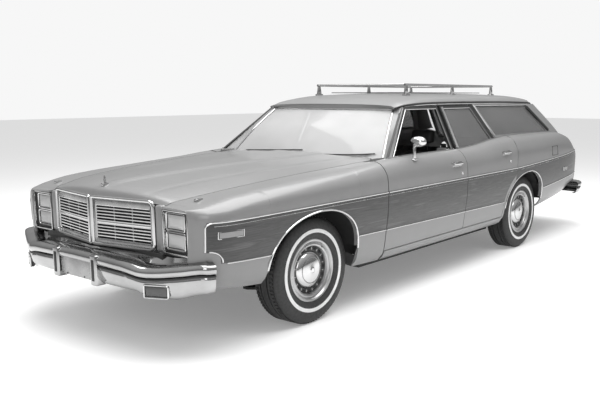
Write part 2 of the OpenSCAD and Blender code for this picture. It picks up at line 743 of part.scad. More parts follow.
// ---- wheels ----
// The tyre's section as [radius, side]: bead, sidewall and shoulder, mirrored to the other side
tyre_side = [[191, 80], [206, 84], [226, 98], [268, tyre_w / 2], [306, tyre_w / 2 - 3], [334, tyre_w / 2 - 16],
             [346, tyre_w / 2 - 34], [tyre_r, tyre_w / 2 - 56]];
module tyre_solid() {
  rotate([0, 90, 0]) rotate_extrude($fn = 96)
    polygon(concat(tyre_side, [for (i = [len(tyre_side) - 1:-1:0]) [tyre_side[i][0], -tyre_side[i][1]]]));
}
// The wheel faces +X: a rim, a dished disc, a hub that runs on the stub axle, and a cap
module wheel_solid() {
  rotate([0, 90, 0]) difference() {
    rotate_extrude($fn = 96) polygon([
      [0, 0], [50, 0], [50, 40], [120, 46], [150, 54], [172, 44], [172, -64], [184, -90], [203, -90],
      [203, -84.5], [190.8, -84.5], [190.8, -78], [180, -60], [180, 56], [190.8, 78], [190.8, 84.5],
      [203, 84.5], [203, 90], [178, 90], [166, 68], [120, 60], [96, 66], [84, 76], [46, 92], [0, 97]]);
    translate([0, 0, -1]) cylinder(r = stub_r + 0.05, h = 46);
  }
}
module wheel_place(front, right) {
  on_side(right) translate([front ? front_wheel_x : rear_wheel_x, front ? front_axle_y : rear_axle_y, tyre_r])
    children();
}
module tyre(front, right) {
  color("black") wheel_place(front, right) tyre_solid();
}
module wheel(front, right) {
  color("silver") wheel_place(front, right) wheel_solid();
}

// ---- inside ----
steer_x = 370;
steer_hub = [steer_x, -490, 925];
steer_tilt = 62;                    // lean of the wheel's axis from the vertical, towards the driver
module dashboard() {
  color("dimgray") {
    side_prism(-690, 690) polygon([
      [-1080, 700], [-1080, 922], [-900, 922], [-852, 962], [-790, 970], [-740, 944], [-735, 860], [-790, 760],
      [-860, 700]]);
    translate(steer_hub) rotate([-steer_tilt, 0, 0]) translate([0, 0, -330]) cylinder(r = 28, h = 297);
  }
}
module steering_wheel() {
  color("dimgray") translate(steer_hub) rotate([-steer_tilt, 0, 0]) {
    rotate_extrude($fn = 72) translate([190, 0]) circle(r = 12, $fn = 24);
    translate([0, 0, -26]) cylinder(r = 46, h = 30);
    for (a = [0, 180]) rotate([0, 0, a]) block([30, -16, -12], [184, 16, -2]);
  }
}

module front_seat() {
  color("slategray") {
    side_prism(-650, 650) polygon([[-310, 438], [-330, 460], [-320, 560], [-260, 600], [170, 570], [230, 438]]);
    side_prism(-650, 650) polygon([[172, 574], [130, 640], [230, 980], [270, 1000], [330, 985], [350, 940], [270, 560]]);
    for (x = [-370, 370]) side_prism(x - 120, x + 120)
      polygon([[252, 1030], [268, 1150], [300, 1170], [345, 1165], [360, 1140], [340, 1030]]);
    for (x = [-370, 370]) for (s = [-60, 60]) translate([x + s, 296, 970]) cylinder(r = 7, h = 70);
    for (x = [-500, 500]) block([x - 30, -240, floor_z + floor_t], [x + 30, 160, 440]);
  }
}

module rear_seat() {
  color("slategray") {
    difference() {
      side_prism(-620, 620) polygon([[450, 301], [440, 540], [480, 590], [930, 570], [936, 301]]);
      block([-176, 400, 290], [176, 950, 436]);
    }
    side_prism(-600, 600) polygon([
      [940, 604], [900, 640], [985, 960], [1030, 985], [1080, 970], [1100, 930], [1030, 604]]);
  }
}

floor_pan();
front_fender(false);  // front_fender_left
front_fender(true);  // front_fender_right
cowl_panel();
front_panel();
grille();
headlamps();
signal_lamps();
front_bumper();
quarter_panel(false);  // quarter_panel_left
quarter_panel(true);  // quarter_panel_right
roof_panel();
window_pillars();
windshield();
quarter_glass();
rear_bumper();
tail_lamps();
roof_rack();
dashboard();
front_seat();
rear_seat();
chassis_frame();
engine_block();
exhaust_pipe();
fuel_tank();
rear_axle();
hood();
front_door(false);  // front_door_left
side_mirror();
front_door(true);  // front_door_right
front_door_glass_right();
rear_door(false);  // rear_door_left
rear_door_glass(false);  // rear_door_glass_left
rear_door(true);  // rear_door_right
rear_door_glass(true);  // rear_door_glass_right
tailgate();
tailgate_glass();
knuckle(false);  // knuckle_left
knuckle(true);  // knuckle_right
tyre(true, false);  // tyre_front_left
tyre(true, true);  // tyre_front_right
tyre(false, false);  // tyre_rear_left
tyre(false, true);  // tyre_rear_right
wheel(true, false);  // wheel_front_left
wheel(true, true);  // wheel_front_right
wheel(false, false);  // wheel_rear_left
wheel(false, true);  // wheel_rear_right
steering_wheel();
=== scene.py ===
import json
import math

import bmesh
import bpy
import numpy as np
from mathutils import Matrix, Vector

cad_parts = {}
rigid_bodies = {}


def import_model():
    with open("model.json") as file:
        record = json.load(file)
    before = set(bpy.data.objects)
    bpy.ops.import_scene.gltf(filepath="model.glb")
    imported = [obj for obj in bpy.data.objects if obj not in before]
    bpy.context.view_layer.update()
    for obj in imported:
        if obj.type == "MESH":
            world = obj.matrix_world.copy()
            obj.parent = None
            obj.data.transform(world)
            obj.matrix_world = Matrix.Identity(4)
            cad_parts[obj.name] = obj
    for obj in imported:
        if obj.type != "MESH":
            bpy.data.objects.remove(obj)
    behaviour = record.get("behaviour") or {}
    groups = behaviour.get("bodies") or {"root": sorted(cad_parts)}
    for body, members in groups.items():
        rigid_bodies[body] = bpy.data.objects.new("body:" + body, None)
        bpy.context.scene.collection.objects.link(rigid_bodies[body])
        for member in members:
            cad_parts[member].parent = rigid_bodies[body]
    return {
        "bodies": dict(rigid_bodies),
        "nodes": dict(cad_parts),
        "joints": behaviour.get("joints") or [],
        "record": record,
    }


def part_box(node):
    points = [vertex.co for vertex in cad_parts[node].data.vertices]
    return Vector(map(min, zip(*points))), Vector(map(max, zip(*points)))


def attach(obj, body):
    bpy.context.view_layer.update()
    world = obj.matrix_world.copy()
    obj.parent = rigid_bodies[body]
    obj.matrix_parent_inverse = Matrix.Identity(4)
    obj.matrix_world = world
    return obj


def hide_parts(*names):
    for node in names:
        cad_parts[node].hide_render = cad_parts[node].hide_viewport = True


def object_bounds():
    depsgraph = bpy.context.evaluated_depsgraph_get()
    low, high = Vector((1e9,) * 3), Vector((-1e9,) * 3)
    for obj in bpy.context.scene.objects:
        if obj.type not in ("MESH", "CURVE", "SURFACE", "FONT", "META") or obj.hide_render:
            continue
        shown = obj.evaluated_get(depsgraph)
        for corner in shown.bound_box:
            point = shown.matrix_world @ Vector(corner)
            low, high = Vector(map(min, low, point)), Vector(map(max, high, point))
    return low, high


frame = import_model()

cadLow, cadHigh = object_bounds()
nodes = frame["nodes"]
noseY, tailY = cadLow.y, cadHigh.y


def boxMiddle(node):
    low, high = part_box(node)
    return (low + high) / 2


frontHub = boxMiddle("tyre_front_left")
rearHub = boxMiddle("tyre_rear_left")
doorY0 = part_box("front_door_left")[0].y - 0.003
doorY1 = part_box("rear_door_left")[0].y - 0.003
hoodY1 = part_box("hood")[1].y
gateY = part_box("tailgate")[1].y
quarterY1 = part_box("quarter_panel_left")[1].y
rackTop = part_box("roof_rack")[1].z
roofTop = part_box("roof_panel")[1].z

# ---- small maths ----


def slopes(xs, ys):
    steps = np.diff(xs)
    rises = np.diff(ys) / steps
    m = np.zeros(len(xs))
    m[0], m[-1] = rises[0], rises[-1]
    for i in range(1, len(xs) - 1):
        if rises[i - 1] * rises[i] > 0:
            a = 2 * steps[i] + steps[i - 1]
            b = steps[i] + 2 * steps[i - 1]
            m[i] = (a + b) / (a / rises[i - 1] + b / rises[i])
    return m


def easeThrough(xs, ys, x):
    # smooth curve through the points that never overshoots them
    xs, ys = np.asarray(xs, float), np.asarray(ys, float)
    m = slopes(xs, ys)
    x = np.clip(np.asarray(x, float), xs[0], xs[-1])
    i = np.clip(np.searchsorted(xs, x, side="right") - 1, 0, len(xs) - 2)
    h = xs[i + 1] - xs[i]
    t = (x - xs[i]) / h
    return ((2 * t**3 - 3 * t**2 + 1) * ys[i] + (t**3 - 2 * t**2 + t) * h * m[i]
            + (3 * t**2 - 2 * t**3) * ys[i + 1] + (t**3 - t**2) * h * m[i + 1])


def smoothLine(points, count):
    # the points joined by a smooth curve, with count points evenly along it
    p = np.asarray(points, float)
    along = np.concatenate([[0], np.cumsum(np.linalg.norm(np.diff(p, axis=0), axis=1))])
    fine = np.linspace(0, along[-1], count * 4)
    q = np.stack([easeThrough(along, p[:, k], fine) for k in range(p.shape[1])], 1)
    return evenLine(q, count)


def evenLine(points, count):
    p = np.asarray(points, float)
    along = np.concatenate([[0], np.cumsum(np.linalg.norm(np.diff(p, axis=0), axis=1))])
    want = np.linspace(0, along[-1], count)
    return np.stack([np.interp(want, along, p[:, k]) for k in range(p.shape[1])], 1)


# ---- shapes: a shape is (points, faces) ----


def joinShapes(*shapes):
    points, faces = [], []
    for p, f in shapes:
        start = len(points)
        points += [tuple(q) for q in p]
        faces += [tuple(i + start for i in face) for face in f]
    return points, faces


def mirrorShape(shape):
    points, faces = shape
    return [(-p[0], p[1], p[2]) for p in points], [tuple(reversed(f)) for f in faces]


def bothSides(shape):
    return joinShapes(shape, mirrorShape(shape))


def moveShape(shape, matrix, offset=(0, 0, 0)):
    points = np.asarray(shape[0], float) @ np.asarray(matrix, float).T + np.asarray(offset, float)
    faces = shape[1]
    if np.linalg.det(np.asarray(matrix, float)) < 0:
        faces = [tuple(reversed(f)) for f in faces]
    return [tuple(p) for p in points], faces


def turnZ(angle):
    c, s = math.cos(angle), math.sin(angle)
    return [[c, -s, 0], [s, c, 0], [0, 0, 1]]


def gridNormals(g):
    du = np.gradient(g, axis=0)
    dv = np.gradient(g, axis=1)
    n = np.cross(dv, du)
    length = np.linalg.norm(n, axis=2, keepdims=True)
    return n / np.maximum(length, 1e-9)


def thickGrid(grid, thickness, outer=0.0):
    # closed sheet; the face seen is on the side where rows x columns point
    g = np.asarray(grid, float)
    n = gridNormals(g)
    m, k = g.shape[:2]
    points = np.concatenate([(g + n * outer).reshape(-1, 3), (g - n * (thickness - outer)).reshape(-1, 3)])
    back = m * k
    faces = []
    for j in range(m - 1):
        for i in range(k - 1):
            a, b, c, d = j * k + i, j * k + i + 1, (j + 1) * k + i + 1, (j + 1) * k + i
            faces.append((a, b, c, d))
            faces.append((back + a, back + d, back + c, back + b))
    rim = [j * k for j in range(m)] + [(m - 1) * k + i for i in range(1, k)]
    rim += [j * k + k - 1 for j in range(m - 2, -1, -1)] + list(range(k - 2, 0, -1))
    for a, b in zip(rim, rim[1:] + rim[:1]):
        faces.append((a, b, back + b, back + a))
    return [tuple(p) for p in points], faces


def boxShape(low, high, bevel=0.004, segments=2):
    bm = bmesh.new()
    bmesh.ops.create_cube(bm, size=1)
    low, high = np.minimum(low, high), np.maximum(low, high)
    for v in bm.verts:
        for k in range(3):
            v.co[k] = low[k] + (v.co[k] + 0.5) * (high[k] - low[k])
    if bevel:
        bevel = min(bevel, 0.45 * float(min(high - low)))
        bmesh.ops.bevel(bm, geom=bm.edges[:], offset=bevel, segments=segments, affect="EDGES", profile=0.5)
    return takeShape(bm)


def takeShape(bm):
    bmesh.ops.recalc_face_normals(bm, faces=bm.faces[:])
    bm.verts.index_update()
    shape = [tuple(v.co) for v in bm.verts], [tuple(v.index for v in f.verts) for f in bm.faces]
    bm.free()
    return shape


def prismShape(outline, plane, low, high, bevel=0.0, segments=2):
    # outline in two coordinates, extruded along the third: plane "yz", "xz" or "xy"
    order = {"yz": (1, 2, 0), "xz": (0, 2, 1), "xy": (0, 1, 2)}[plane]
    bm = bmesh.new()
    loops = []
    for level in (low, high):
        ring = []
        for p in outline:
            co = [0, 0, 0]
            co[order[0]], co[order[1]], co[order[2]] = p[0], p[1], level
            ring.append(bm.verts.new(co))
        loops.append(ring)
    bm.faces.new(loops[0])
    bm.faces.new(list(reversed(loops[1])))
    n = len(outline)
    for i in range(n):
        bm.faces.new((loops[0][i], loops[0][(i + 1) % n], loops[1][(i + 1) % n], loops[1][i]))
    bmesh.ops.recalc_face_normals(bm, faces=bm.faces[:])
    if bevel:
        sharp = [e for e in bm.edges if len(e.link_faces) == 2 and e.calc_face_angle(0) > 0.5]
        bmesh.ops.bevel(bm, geom=sharp, offset=bevel, segments=segments, affect="EDGES", profile=0.5,
                        clamp_overlap=True)
    return takeShape(bm)


def latheShape(profile, centre, side=1, turns=72, closed=False):
    # profile of (radius, reach) points turned round the X axis; side -1 faces the other way
    bm = bmesh.new()
    rings = []
    for r, a in profile:
        count = turns if r > 1e-6 else 1
        rings.append([bm.verts.new((centre[0] + side * a, centre[1] + r * math.cos(2 * math.pi * k / turns),
                                    centre[2] + r * math.sin(2 * math.pi * k / turns))) for k in range(count)])
    pairs = list(zip(rings, rings[1:])) + ([(rings[-1], rings[0])] if closed else [])
    for a, b in pairs:
        for k in range(turns):
            n = (k + 1) % turns
            face = []
            for v in (a[k % len(a)], a[n % len(a)], b[n % len(b)], b[k % len(b)]):
                if v not in face:
                    face.append(v)
            if len(face) > 2:
                bm.faces.new(face)
    return takeShape(bm)


def tubeShape(path, radius, turns=10):
    # round bar along a path, with closed ends
    p = np.asarray(path, float)
    ways = np.gradient(p, axis=0)
    ways /= np.linalg.norm(ways, axis=1, keepdims=True)
    up = np.array([0, 0, 1.0]) if abs(ways[0][2]) < 0.9 else np.array([1.0, 0, 0])
    points, faces = [], []
    for i, (q, w) in enumerate(zip(p, ways)):
        a = up - w * np.dot(up, w)
        a /= np.linalg.norm(a)
        up = a
        b = np.cross(w, a)
        r = radius[i] if hasattr(radius, "__len__") else radius
        for k in range(turns):
            t = 2 * math.pi * k / turns
            points.append(tuple(q + r * (a * math.cos(t) + b * math.sin(t))))
    for i in range(len(p) - 1):
        for k in range(turns):
            n = (k + 1) % turns
            faces.append((i * turns + k, i * turns + n, (i + 1) * turns + n, (i + 1) * turns + k))
    faces.append(tuple(reversed(range(turns))))
    faces.append(tuple((len(p) - 1) * turns + k for k in range(turns)))
    return points, faces


def bandShape(lineA, lineB, thickness, steps=2):
    # flat band between two lines, given in order so that its face looks outwards
    a, b = np.asarray(lineA, float), np.asarray(lineB, float)
    rows = [a + (b - a) * k / (steps - 1) for k in range(steps)]
    return thickGrid(np.stack(rows), thickness)


def makePiece(name, parts, body, replaces=(), sharp=35):
    mesh = bpy.data.meshes.new(name)
    points, faces, looks = joinParts(parts)
    mesh.from_pydata(points, [], faces)
    for look in looks["order"]:
        mesh.materials.append(look)
    mesh.polygons.foreach_set("material_index", looks["index"])
    mesh.validate()
    mesh.shade_smooth()
    mesh.set_sharp_from_angle(angle=math.radians(sharp))
    piece = bpy.data.objects.new(name, mesh)
    bpy.context.scene.collection.objects.link(piece)
    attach(piece, body)
    if replaces:
        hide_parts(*replaces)
    return piece


def joinParts(parts):
    points, faces, index, order = [], [], [], []
    for shape, look in parts:
        if look not in order:
            order.append(look)
        start = len(points)
        points += [tuple(p) for p in shape[0]]
        faces += [tuple(i + start for i in f) for f in shape[1]]
        index += [order.index(look)] * len(shape[1])
    return points, faces, {"order": order, "index": index}


# ---- finishes ----


def newFinish(name, colour, roughness, metallic=0.0, **extra):
    made = bpy.data.materials.new(name)
    made.use_nodes = True
    tree = made.node_tree
    shader = tree.nodes["Principled BSDF"]
    shader.inputs["Base Color"].default_value = (*colour, 1)
    shader.inputs["Roughness"].default_value = roughness
    shader.inputs["Metallic"].default_value = metallic
    for socket, value in extra.items():
        shader.inputs[socket.replace("_", " ")].default_value = value
    return made, tree, shader


def objectPattern(tree, scale, kind="ShaderNodeTexNoise", **settings):
    where = tree.nodes.new("ShaderNodeTexCoord")
    mapping = tree.nodes.new("ShaderNodeMapping")
    mapping.inputs["Scale"].default_value = scale
    tree.links.new(where.outputs["Object"], mapping.inputs["Vector"])
    pattern = tree.nodes.new(kind)
    for key, value in settings.items():
        if key in pattern.inputs:
            pattern.inputs[key].default_value = value
        else:
            setattr(pattern, key, value)
    tree.links.new(mapping.outputs["Vector"], pattern.inputs["Vector"])
    return pattern


def addRamp(tree, source, stops, target):
    ramp = tree.nodes.new("ShaderNodeValToRGB")
    ramp.color_ramp.elements[0].position, ramp.color_ramp.elements[0].color = stops[0][0], (*stops[0][1], 1)
    ramp.color_ramp.elements[1].position, ramp.color_ramp.elements[1].color = stops[-1][0], (*stops[-1][1], 1)
    for place, colour in stops[1:-1]:
        ramp.color_ramp.elements.new(place).color = (*colour, 1)
    tree.links.new(source, ramp.inputs["Fac"])
    tree.links.new(ramp.outputs["Color"], target)


def addBump(tree, shader, source, strength, distance):
    bump = tree.nodes.new("ShaderNodeBump")
    bump.inputs["Strength"].default_value = strength
    bump.inputs["Distance"].default_value = distance
    tree.links.new(source, bump.inputs["Height"])
    tree.links.new(bump.outputs["Normal"], shader.inputs["Normal"])


def grey(value, warm=0.0):
    return (value * (1 + warm), value, value * (1 - warm))


def mottled(name, dark, light, scale, roughness, metallic=0.0, bump=0.0, depth=0.001, **extra):
    # a finish whose colour, gloss and surface vary gently over the piece
    made, tree, shader = newFinish(name, light, roughness, metallic, **extra)
    noise = objectPattern(tree, (scale, scale, scale), Scale=1.0, Detail=4.0, Roughness=0.6)
    addRamp(tree, noise.outputs["Fac"], [(0.3, dark), (0.7, light)], shader.inputs["Base Color"])
    gloss = tree.nodes.new("ShaderNodeMapRange")
    gloss.inputs["To Min"].default_value = roughness * 0.85
    gloss.inputs["To Max"].default_value = min(1.0, roughness * 1.2)
    tree.links.new(noise.outputs["Fac"], gloss.inputs["Value"])
    tree.links.new(gloss.outputs["Result"], shader.inputs["Roughness"])
    if bump:
        addBump(tree, shader, noise.outputs["Fac"], bump, depth)
    return made


def woodFinish():
    made, tree, shader = newFinish("woodVinyl", grey(0.06), 0.38, Coat_Weight=0.25, Coat_Roughness=0.15)
    grain = objectPattern(tree, (1.6, 1.2, 24.0), Scale=2.2, Detail=6.0, Roughness=0.62, Distortion=0.4)
    addRamp(tree, grain.outputs["Fac"],
            [(0.30, grey(0.010)), (0.45, grey(0.036)), (0.52, grey(0.018)), (0.70, grey(0.072))],
            shader.inputs["Base Color"])
    addBump(tree, shader, grain.outputs["Fac"], 0.12, 0.0006)
    return made


def tyreFinish():
    made, tree, shader = newFinish("tyreRubber", grey(0.018), 0.62)
    noise = objectPattern(tree, (60, 60, 60), Scale=1.0, Detail=5.0)
    addRamp(tree, noise.outputs["Fac"], [(0.3, grey(0.013)), (0.75, grey(0.032))], shader.inputs["Base Color"])
    addBump(tree, shader, noise.outputs["Fac"], 0.25, 0.001)
    return made


def vinylFinish(name, dark, light):
    made, tree, shader = newFinish(name, light, 0.45)
    cells = objectPattern(tree, (420, 420, 420), "ShaderNodeTexVoronoi", Scale=1.0)
    patches = objectPattern(tree, (7, 7, 7), Scale=1.0, Detail=3.0)
    addRamp(tree, patches.outputs["Fac"], [(0.3, dark), (0.7, light)], shader.inputs["Base Color"])
    addBump(tree, shader, cells.outputs["Distance"], 0.25, 0.0006)
    return made


def lensFinish(name, colour, roughness, ribs, alpha=1.0):
    made, tree, shader = newFinish(name, colour, roughness, Coat_Weight=0.6, Coat_Roughness=0.05, Alpha=alpha)
    wave = objectPattern(tree, ribs, "ShaderNodeTexWave", Scale=1.0, bands_direction="DIAGONAL")
    addBump(tree, shader, wave.outputs["Fac"], 0.5, 0.002)
    return made


def glassFinish(name, colour, alpha, dark):
    made, tree, shader = newFinish(name, colour, 0.06, Alpha=alpha, Specular_IOR_Level=0.4)
    haze = objectPattern(tree, (1.5, 1.5, 3.0), Scale=1.0, Detail=2.0)
    addRamp(tree, haze.outputs["Fac"], [(0.35, dark), (0.65, colour)], shader.inputs["Base Color"])
    return made


print("finishes")
paint = mottled("bodyPaint", grey(0.185), grey(0.205), 2.5, 0.38, 0.12, Coat_Weight=0.35, Coat_Roughness=0.14)
wood = woodFinish()
chrome = mottled("brightChrome", grey(0.50), grey(0.62), 5.0, 0.10, 1.0)
# darker copy of the bright chrome: painted shade standing in for the dark reflections on the bumpers
shadedBumperChrome = mottled("shadedBumperChrome", grey(0.33), grey(0.42), 5.0, 0.10, 1.0)
dullChrome = mottled("dullChrome", grey(0.24), grey(0.34), 9.0, 0.26, 0.9)
blackRubber = mottled("blackRubber", grey(0.010), grey(0.024), 30.0, 0.55, 0.0, 0.1)
blackPlastic = mottled("blackPlastic", grey(0.012), grey(0.022), 20.0, 0.5, 0.0, 0.1)
# near-black for the grille backing, the cowl vent slots, the wheel slots and the fuel door seam: painted shade in these
# openings and gaps
paintedShadeBlack = mottled("paintedShadeBlack", grey(0.006), grey(0.014), 15.0, 0.8)
tyreRubber = tyreFinish()
whiteWall = mottled("whiteWall", grey(0.62), grey(0.78), 14.0, 0.5, 0.0, 0.1)
wheelSilver = mottled("wheelSilver", grey(0.36), grey(0.46), 9.0, 0.28, 0.85)
wheelDark = mottled("wheelDark", grey(0.03), grey(0.06), 20.0, 0.5, 0.3)
headLens = lensFinish("headLens", grey(0.40), 0.12, (90, 0, 0))
signalLens = lensFinish("signalLens", grey(0.055), 0.2, (0, 0, 120))
markerLens = lensFinish("markerLens", grey(0.22), 0.3, (0, 160, 0))
tailLens = lensFinish("tailLens", grey(0.075), 0.2, (0, 0, 90))
# one glass in two copies: the windshield's pale grey is painted reflection of the bright sky, the side glass's dark
# grey is painted shade
screenGlass = glassFinish("screenGlass", grey(0.60), 0.50, grey(0.50))
sideGlass = glassFinish("sideGlass", grey(0.15), 0.66, grey(0.12))
seatVinyl = vinylFinish("seatVinyl", grey(0.045), grey(0.075))
trimVinyl = vinylFinish("trimVinyl", grey(0.03), grey(0.05))
headLining = mottled("headLining", grey(0.35), grey(0.45), 60.0, 0.9, 0.0, 0.3)
carpet = mottled("carpet", grey(0.02), grey(0.05), 220.0, 0.95, 0.0, 0.6)
underPaint = mottled("underPaint", grey(0.016), grey(0.035), 12.0, 0.75, 0.0, 0.3)
frameBlack = mottled("frameBlack", grey(0.012), grey(0.03), 18.0, 0.6, 0.2, 0.3)
castIron = mottled("castIron", grey(0.05), grey(0.10), 40.0, 0.7, 0.5, 0.5)
exhaustSteel = mottled("exhaustSteel", (0.16, 0.13, 0.11), grey(0.34), 14.0, 0.5, 0.85, 0.3)

# ---- made by geometry nodes ----


def startTree(name, inputs):
    tree = bpy.data.node_groups.new(name, "GeometryNodeTree")
    tree.interface.new_socket("Geometry", in_out="INPUT", socket_type="NodeSocketGeometry")
    for label, kind, value in inputs:
        socket = tree.interface.new_socket(label, in_out="INPUT", socket_type=kind)
        if value is not None:
            socket.default_value = value
    tree.interface.new_socket("Material", in_out="INPUT", socket_type="NodeSocketMaterial")
    tree.interface.new_socket("Geometry", in_out="OUTPUT", socket_type="NodeSocketGeometry")
    return tree, tree.nodes.new("NodeGroupInput")


def endTree(tree, start, source):
    real = tree.nodes.new("GeometryNodeRealizeInstances")
    dress = tree.nodes.new("GeometryNodeSetMaterial")
    end = tree.nodes.new("NodeGroupOutput")
    tree.links.new(source, real.inputs["Geometry"])
    tree.links.new(real.outputs["Geometry"], dress.inputs["Geometry"])
    tree.links.new(start.outputs["Material"], dress.inputs["Material"])
    tree.links.new(dress.outputs["Geometry"], end.inputs["Geometry"])


def growPath():
    # a round bar along each line of the mesh that it is given
    tree, start = startTree("barAlongPath", [("Radius", "NodeSocketFloat", 0.005), ("Sides", "NodeSocketInt", 8)])
    curve = tree.nodes.new("GeometryNodeMeshToCurve")
    circle = tree.nodes.new("GeometryNodeCurvePrimitiveCircle")
    sweep = tree.nodes.new("GeometryNodeCurveToMesh")
    sweep.inputs["Fill Caps"].default_value = True
    tree.links.new(start.outputs["Geometry"], curve.inputs["Mesh"])
    tree.links.new(start.outputs["Radius"], circle.inputs["Radius"])
    tree.links.new(start.outputs["Sides"], circle.inputs["Resolution"])
    tree.links.new(curve.outputs["Curve"], sweep.inputs["Curve"])
    tree.links.new(circle.outputs["Curve"], sweep.inputs["Profile Curve"])
    endTree(tree, start, sweep.outputs["Mesh"])
    return tree


def growRow():
    # bars of one size in a straight row
    tree, start = startTree("rowOfBars", [("Count", "NodeSocketInt", 5), ("Step", "NodeSocketVector", (0, 0, 0.02)),
                                          ("First", "NodeSocketVector", (0, 0, 0)), ("Size", "NodeSocketVector", (1, 1, 1))])
    line = tree.nodes.new("GeometryNodeMeshLine")
    cube = tree.nodes.new("GeometryNodeMeshCube")
    place = tree.nodes.new("GeometryNodeInstanceOnPoints")
    for a, b in (("Count", line.inputs["Count"]), ("Step", line.inputs["Offset"]), ("First", line.inputs["Start Location"]),
                 ("Size", cube.inputs["Size"])):
        tree.links.new(start.outputs[a], b)
    tree.links.new(line.outputs["Mesh"], place.inputs["Points"])
    tree.links.new(cube.outputs["Mesh"], place.inputs["Instance"])
    endTree(tree, start, place.outputs["Instances"])
    return tree


def growRing():
    # bars of one size round the Z axis, each turned to face outwards and leaning by Lean
    tree, start = startTree("ringOfBars", [("Count", "NodeSocketInt", 12), ("Radius", "NodeSocketFloat", 0.1),
                                           ("Size", "NodeSocketVector", (1, 1, 1)), ("Lean", "NodeSocketFloat", 0.0),
                                           ("Height", "NodeSocketFloat", 0.0)])
    ring = tree.nodes.new("GeometryNodeMeshCircle")
    cube = tree.nodes.new("GeometryNodeMeshCube")
    place = tree.nodes.new("GeometryNodeInstanceOnPoints")
    index = tree.nodes.new("GeometryNodeInputIndex")
    step = tree.nodes.new("ShaderNodeMath")
    step.operation = "DIVIDE"
    step.inputs[0].default_value = 2 * math.pi
    turn = tree.nodes.new("ShaderNodeMath")
    turn.operation = "MULTIPLY"
    angles = tree.nodes.new("ShaderNodeCombineXYZ")
    toTurn = tree.nodes.new("FunctionNodeEulerToRotation")
    lift = tree.nodes.new("ShaderNodeCombineXYZ")
    move = tree.nodes.new("GeometryNodeTransform")
    tree.links.new(start.outputs["Count"], ring.inputs["Vertices"])
    tree.links.new(start.outputs["Radius"], ring.inputs["Radius"])
    tree.links.new(start.outputs["Size"], cube.inputs["Size"])
    tree.links.new(start.outputs["Count"], step.inputs[1])
    tree.links.new(index.outputs["Index"], turn.inputs[0])
    tree.links.new(step.outputs["Value"], turn.inputs[1])
    tree.links.new(turn.outputs["Value"], angles.inputs["Z"])
    tree.links.new(start.outputs["Lean"], angles.inputs["X"])
    tree.links.new(angles.outputs["Vector"], toTurn.inputs["Euler"])
    tree.links.new(ring.outputs["Mesh"], place.inputs["Points"])
    tree.links.new(cube.outputs["Mesh"], place.inputs["Instance"])
    tree.links.new(toTurn.outputs["Rotation"], place.inputs["Rotation"])
    tree.links.new(start.outputs["Height"], lift.inputs["Z"])
    tree.links.new(place.outputs["Instances"], move.inputs["Geometry"])
    tree.links.new(lift.outputs["Vector"], move.inputs["Translation"])
    endTree(tree, start, move.outputs["Geometry"])
    return tree


def runTree(tree, values, mesh=None):
    mesh = mesh or bpy.data.meshes.new("seed")
    holder = bpy.data.objects.new("maker", mesh)
    bpy.context.scene.collection.objects.link(holder)
    made = holder.modifiers.new("made", "NODES")
    made.node_group = tree
    for item in tree.interface.items_tree:
        if item.item_type == "SOCKET" and item.in_out == "INPUT" and item.name in values:
            made[item.identifier] = values[item.name]
    depsgraph = bpy.context.evaluated_depsgraph_get()
    result = bpy.data.meshes.new_from_object(holder.evaluated_get(depsgraph), depsgraph=depsgraph)
    shape = [tuple(v.co) for v in result.vertices], [tuple(p.vertices) for p in result.polygons]
    holder.modifiers.remove(made)
    bpy.data.objects.remove(holder)
    bpy.data.meshes.remove(result)
    return shape


pathTree, rowTree, ringTree = growPath(), growRow(), growRing()


def barsAlong(paths, radius, look, sides=8):
    mesh = bpy.data.meshes.new("paths")
    points, edges = [], []
    for path in paths:
        start = len(points)
        points += [tuple(map(float, p)) for p in path]
        edges += [(start + i, start + i + 1) for i in range(len(path) - 1)]
    mesh.from_pydata(points, edges, [])
    return runTree(pathTree, {"Radius": radius, "Sides": sides, "Material": look}, mesh), look


def rowOf(count, step, first, size, look):
    return runTree(rowTree, {"Count": count, "Step": step, "First": first, "Size": size, "Material": look}), look


def ringOf(count, radius, size, look, lean=0.0, height=0.0):
    return runTree(ringTree, {"Count": count, "Radius": radius, "Size": size, "Lean": lean, "Height": height,
                              "Material": look}), look


# ---- camera, light and floor ----

camera = {"place": (3.91, -5.135, 1.46), "azimuth": 36.54, "down": 8.33, "lens": 43.33, "shift": (-0.131, 0.002)}


def makeCamera():
    data = bpy.data.cameras.new("viewCamera")
    data.lens = camera["lens"]
    data.shift_x, data.shift_y = camera["shift"]
    eye = bpy.data.objects.new("viewCamera", data)
    eye.location = camera["place"]
    eye.rotation_euler = (math.radians(90 - camera["down"]), 0, math.radians(camera["azimuth"]))
    bpy.context.scene.collection.objects.link(eye)
    bpy.context.scene.camera = eye


studio = {"sky": (0.30, 0.95), "skyStrength": 0.74, "overheadPower": 640, "overheadSize": 7.0, "sidePower": 70,
          "floor": grey(0.82), "backdrop": 0.93, "glow": 0.22}


def makeLight(name, place, aim, size, power):
    data = bpy.data.lights.new(name, "AREA")
    data.size = size
    data.energy = power
    lamp = bpy.data.objects.new(name, data)
    lamp.location = place
    lamp.rotation_euler = (Vector(aim) - Vector(place)).to_track_quat("-Z", "Y").to_euler()
    bpy.context.scene.collection.objects.link(lamp)


